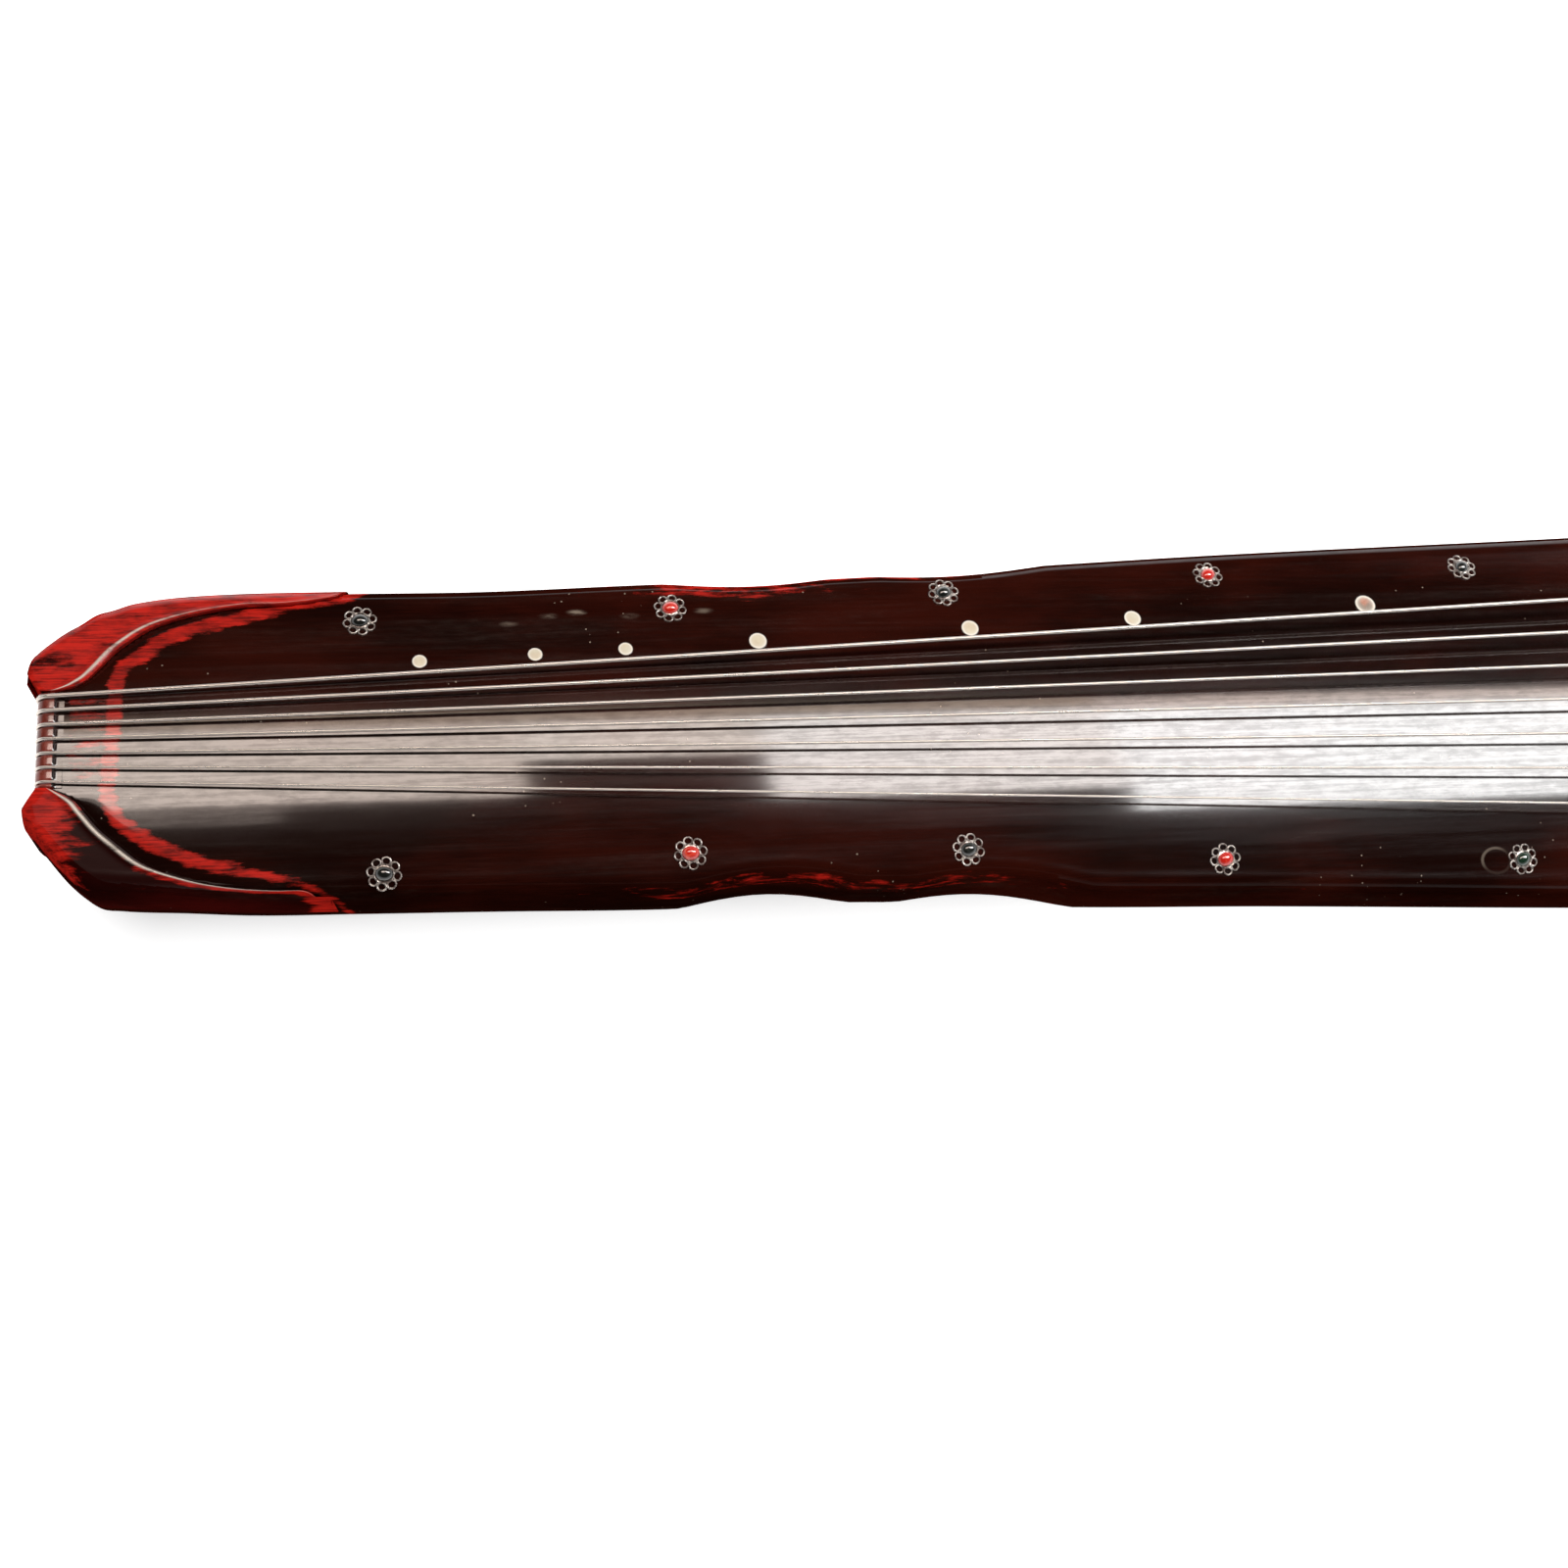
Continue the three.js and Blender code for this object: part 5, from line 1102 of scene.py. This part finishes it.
for i, (share, size) in enumerate(zip(HUI_SHARES, HUI_SIZES)):
    place, number = share * SCALE, len(HUI_SHARES) - i
    aside = at_nut(0) + (at_bridge(0) - at_nut(0)) * share + HUI_OFFSET + HUI_OFFSET_SHARE * place
    masks = {"rim": eased(dome[:, :1], 0.5, 0.88), "bed": eased(dome[:, :1], 0.90, 0.935), "painted_reflection": number == 7}
    mesh = grid_mesh(turned_on_arch(place, aside, dome, 40, size / 2, size / 2), masks=masks)
    piece(f"shell_marker_{number}", mesh, [shell], [f"hui_{number}"], smooth=35)


# Rosettes. Fourteen small ornaments along both edges, each of eight loops of twisted wire round a domed
# stone in a wire collar, pressed into the lacquer. Black and red stones take turns.
ROSETTES = {
    "far": ((0.1041, 0.507), (0.2181, 0.547), (0.3253, 0.608), (0.4361, 0.686), (0.5481, 0.713),
            (0.6592, 0.765), (0.7700, 0.805)),
    "near": ((0.1106, 0.587), (0.2185, 0.553), (0.3219, 0.583), (0.4221, 0.668), (0.5454, 0.722),
             (0.6500, 0.770), (0.7560, 0.810))}
LOOPS, LOOP_REACH, LOOP_LONG, LOOP_WIDE = 8, 5.05, 1.50, 1.70
COLLAR, STONE_LONG, STONE_WIDE, STONE_HEIGHT = 3.7, 3.5, 2.9, 2.5
LOOP_WIRE, COLLAR_WIRE, COLLAR_LIFT = 0.7, 0.62, 0.35
SPIN_STEP, SPIN_START = 0.37, 0.2
silver, tree = finish("darkened_silver")
tarnish = clouds(tree, (420, 420, 420))
dress(tree, Base_Color=blended(between(tarnish, 0.35, 0.65), (0.66, 0.62, 0.58, 1), (0.15, 0.12, 0.11, 1)),
      Roughness=between(tarnish, 0.3, 0.7, 0.25, 0.5), height=tarnish, rise=0.00005, Metallic=0.9)


def stone_finish(name, colour, vein):
    """A polished stone: its colour, a vein of another, and a clear gloss."""
    made, tree = finish(name)
    veins = clouds(tree, (180, 180, 180), 3.0, 0.5, 1.5)
    dress(tree, Base_Color=blended(between(veins, 0.5, 0.7), colour, vein), Coat_Weight=1.0,
          Roughness=between(veins, 0.3, 0.7, 0.12, 0.2), height=veins, rise=0.00003, Coat_Roughness=0.04,
          Specular_IOR_Level=0.7)
    return made


stones = {"black": stone_finish("black_stone", (0.010, 0.011, 0.010, 1), (0.030, 0.034, 0.030, 1)),
          "red": stone_finish("red_stone", (0.62, 0.020, 0.012, 1), (0.85, 0.10, 0.06, 1)),
          "green": stone_finish("dark_green_stone", (0.010, 0.030, 0.016, 1), (0.02, 0.06, 0.035, 1))}


def wire_rings(centre, heading, long_half, wide_half, wire, steps, twist):
    """A closed loop of twisted wire, lying flat: an ellipse about a centre, long along a heading, its round
    wire swelling with the cosine of twice the angle round it less the twist."""
    t, a = circle(steps)[:, None], circle(6)
    swell = wire / 2 * (1 + 0.28 * np.cos(2 * (a - twist * t)))
    out_long, out_side = np.cos(t) * wide_half, np.sin(t) * long_half
    out_size = np.hypot(out_long, out_side)
    reach = long_half * np.cos(t) + swell * np.cos(a) * out_long / out_size
    side = wide_half * np.sin(t) + swell * np.cos(a) * out_side / out_size
    return (centre[0] + reach * np.cos(heading) - side * np.sin(heading),
            centre[1] + reach * np.sin(heading) + side * np.cos(heading), swell * np.sin(a) + wire * 0.3)


def joined(meshes):
    """One mesh out of several."""
    whole = bmesh.new()
    for part in meshes:
        whole.from_mesh(part)
        bpy.data.meshes.remove(part)
    mesh = bpy.data.meshes.new("joined")
    whole.to_mesh(mesh)
    whole.free()
    return mesh


cabochon = np.array([(0.02, -0.7), (0.96, -0.7), (1.0, -0.5), (1.0, 0.55), (0.97, 0.9), (0.88, 1.35),
                     (0.72, 1.8), (0.5, 2.2), (0.25, 2.43), (0.02, STONE_HEIGHT)])
cup = np.array([(0.02, -0.6), (3.75, -0.6), (3.85, -0.3), (3.8, 0.35), (3.5, 0.5), (0.02, 0.5)])
for name, side in (("near", -1), ("far", 1)):
    for i, (share, out) in enumerate(ROSETTES[name]):
        place, aside = share * SCALE, side * out * SHOULDER_HALF
        spin = SPIN_STEP * i + SPIN_START * side
        wires = [wire_rings((LOOP_REACH * np.cos(heading), LOOP_REACH * np.sin(heading)), heading, LOOP_LONG,
                            LOOP_WIDE, LOOP_WIRE, 30, 9) for heading in spin + circle(LOOPS)]
        around, beside, above_board = wire_rings((0, 0), 0, COLLAR, COLLAR, COLLAR_WIRE, 72, 30)
        wires.append((around, beside, above_board + COLLAR_LIFT))
        parts = [grid_mesh(laid_on_arch(place, aside, *wire), closed=True) for wire in wires]
        parts.append(grid_mesh(turned_on_arch(place, aside, cup, 36)))
        piece(f"rosette_wire_{name}_{i + 1}", joined(parts), [silver], ["top_board"], smooth=60)
        stone = turned_on_arch(place, aside, cabochon, 36, STONE_LONG, STONE_WIDE, spin * 0.5)
        kind = "red" if i % 2 else ("green" if side < 0 and i >= 4 else "black")
        piece(f"rosette_stone_{name}_{i + 1}", grid_mesh(stone), [stones[kind]], ["top_board"], smooth=60)


# Room. A white floor, and long soft lamps in a row above the far side of the board, which its arch mirrors
# as the long glare. Each lamp is one even stretch of it, brighter to the head and browner along its far edge.
FLOOR_HALF, FLOOR_GLOW, LAMP_HEIGHT = 14.0, 0.95, 1500.0
UNLIT_HALF, UNLIT_EDGE = {"X": 0.57, "Y": 0.02}, 0.05
paper, tree = finish("white_floor")
place = wired(tree, "SeparateXYZ", {0: own_place(tree)})
beyond = [(place[axis].math("ABSOLUTE") - half).math("MAXIMUM") for axis, half in UNLIT_HALF.items()]
clear = between((beyond[0] * beyond[0] + beyond[1] * beyond[1]).math("POWER", 0.5), 0.0, UNLIT_EDGE)
rays = wired(tree, "LightPath")
mirrored = rays["Is Glossy Ray"].math("MAXIMUM", rays["Is Transmission Ray"])
seen = rays["Is Camera Ray"].math("MAXIMUM", mirrored)
white = blended(clouds(tree, (1.2, 1.2, 1.2), 2.0), (0.90, 0.90, 0.90, 1), (0.93, 0.93, 0.93, 1))
dress(tree, Base_Color=white, Roughness=0.9, Specular_IOR_Level=0.1, Emission_Strength=FLOOR_GLOW,
      Emission_Color=blended(clear * seen, (0, 0, 0, 1), (1, 1, 1, 1)))
floor_mesh = bpy.data.meshes.new("floor")
corners = [(x * FLOOR_HALF, y * FLOOR_HALF, 0) for x, y in ((-1, -1), (1, -1), (1, 1), (-1, 1))]
floor_mesh.from_pydata(corners, [], [(0, 1, 2, 3)])
floor_mesh.materials.append(paper)
floor = bpy.data.objects.new("floor", floor_mesh)
bpy.context.scene.collection.objects.link(floor)

for name, (start, end), (near, far), radiance, tint in (
        ("tail_lamp", (-470, 250), (212, 600), 7.6, (1.0, 0.84, 0.74)),
        ("middle_lamp", (250, 545), (392, 600), 8.8, (1.0, 0.87, 0.78)),
        ("brown_lamp", (-470, 1000), (604, 668), 3.4, (1.0, 0.76, 0.58)),
        ("head_lamp_near", (545, 1000), (160, 600), 11.0, (1.0, 0.93, 0.89)),
        ("tail_haze_lamp", (-470, -30), (124, 212), 1.5, (1.0, 0.84, 0.74)),
        ("head_lamp_far", (1000, 2000), (40, 584), 13.2, (1.0, 0.99, 0.98)),
        ("head_brown_lamp", (1000, 2000), (585, 656), 7.0, (1.0, 0.83, 0.74))):
    light = bpy.data.lights.new(name, "AREA")
    light.shape = "RECTANGLE"
    light.size, light.size_y = (end - start) / 1000, (far - near) / 1000
    light.energy = radiance * np.pi * light.size * light.size_y
    light.color = tint
    middle = in_frame((start + end) / 2, (near + far) / 2, LAMP_HEIGHT)
    stood(name, light, middle, np.eye(3)).visible_camera = False

world = bpy.data.worlds.new("studio")
bpy.context.scene.world = world
world.use_nodes = True
up_share = wired(world.node_tree, "SeparateXYZ", {0: wired(world.node_tree, "TexCoord")["Generated"]})["Z"]
level_band = between(up_share, 0.26, 0.57, 1.0, 0.0)
feed(world.node_tree.nodes["Background"], {
    "Color": blended(level_band, (0.004, 0.004, 0.004, 1), (1, 1, 1, 1)), "Strength": 1.0})
bpy.context.scene.view_settings.view_transform = "Standard"
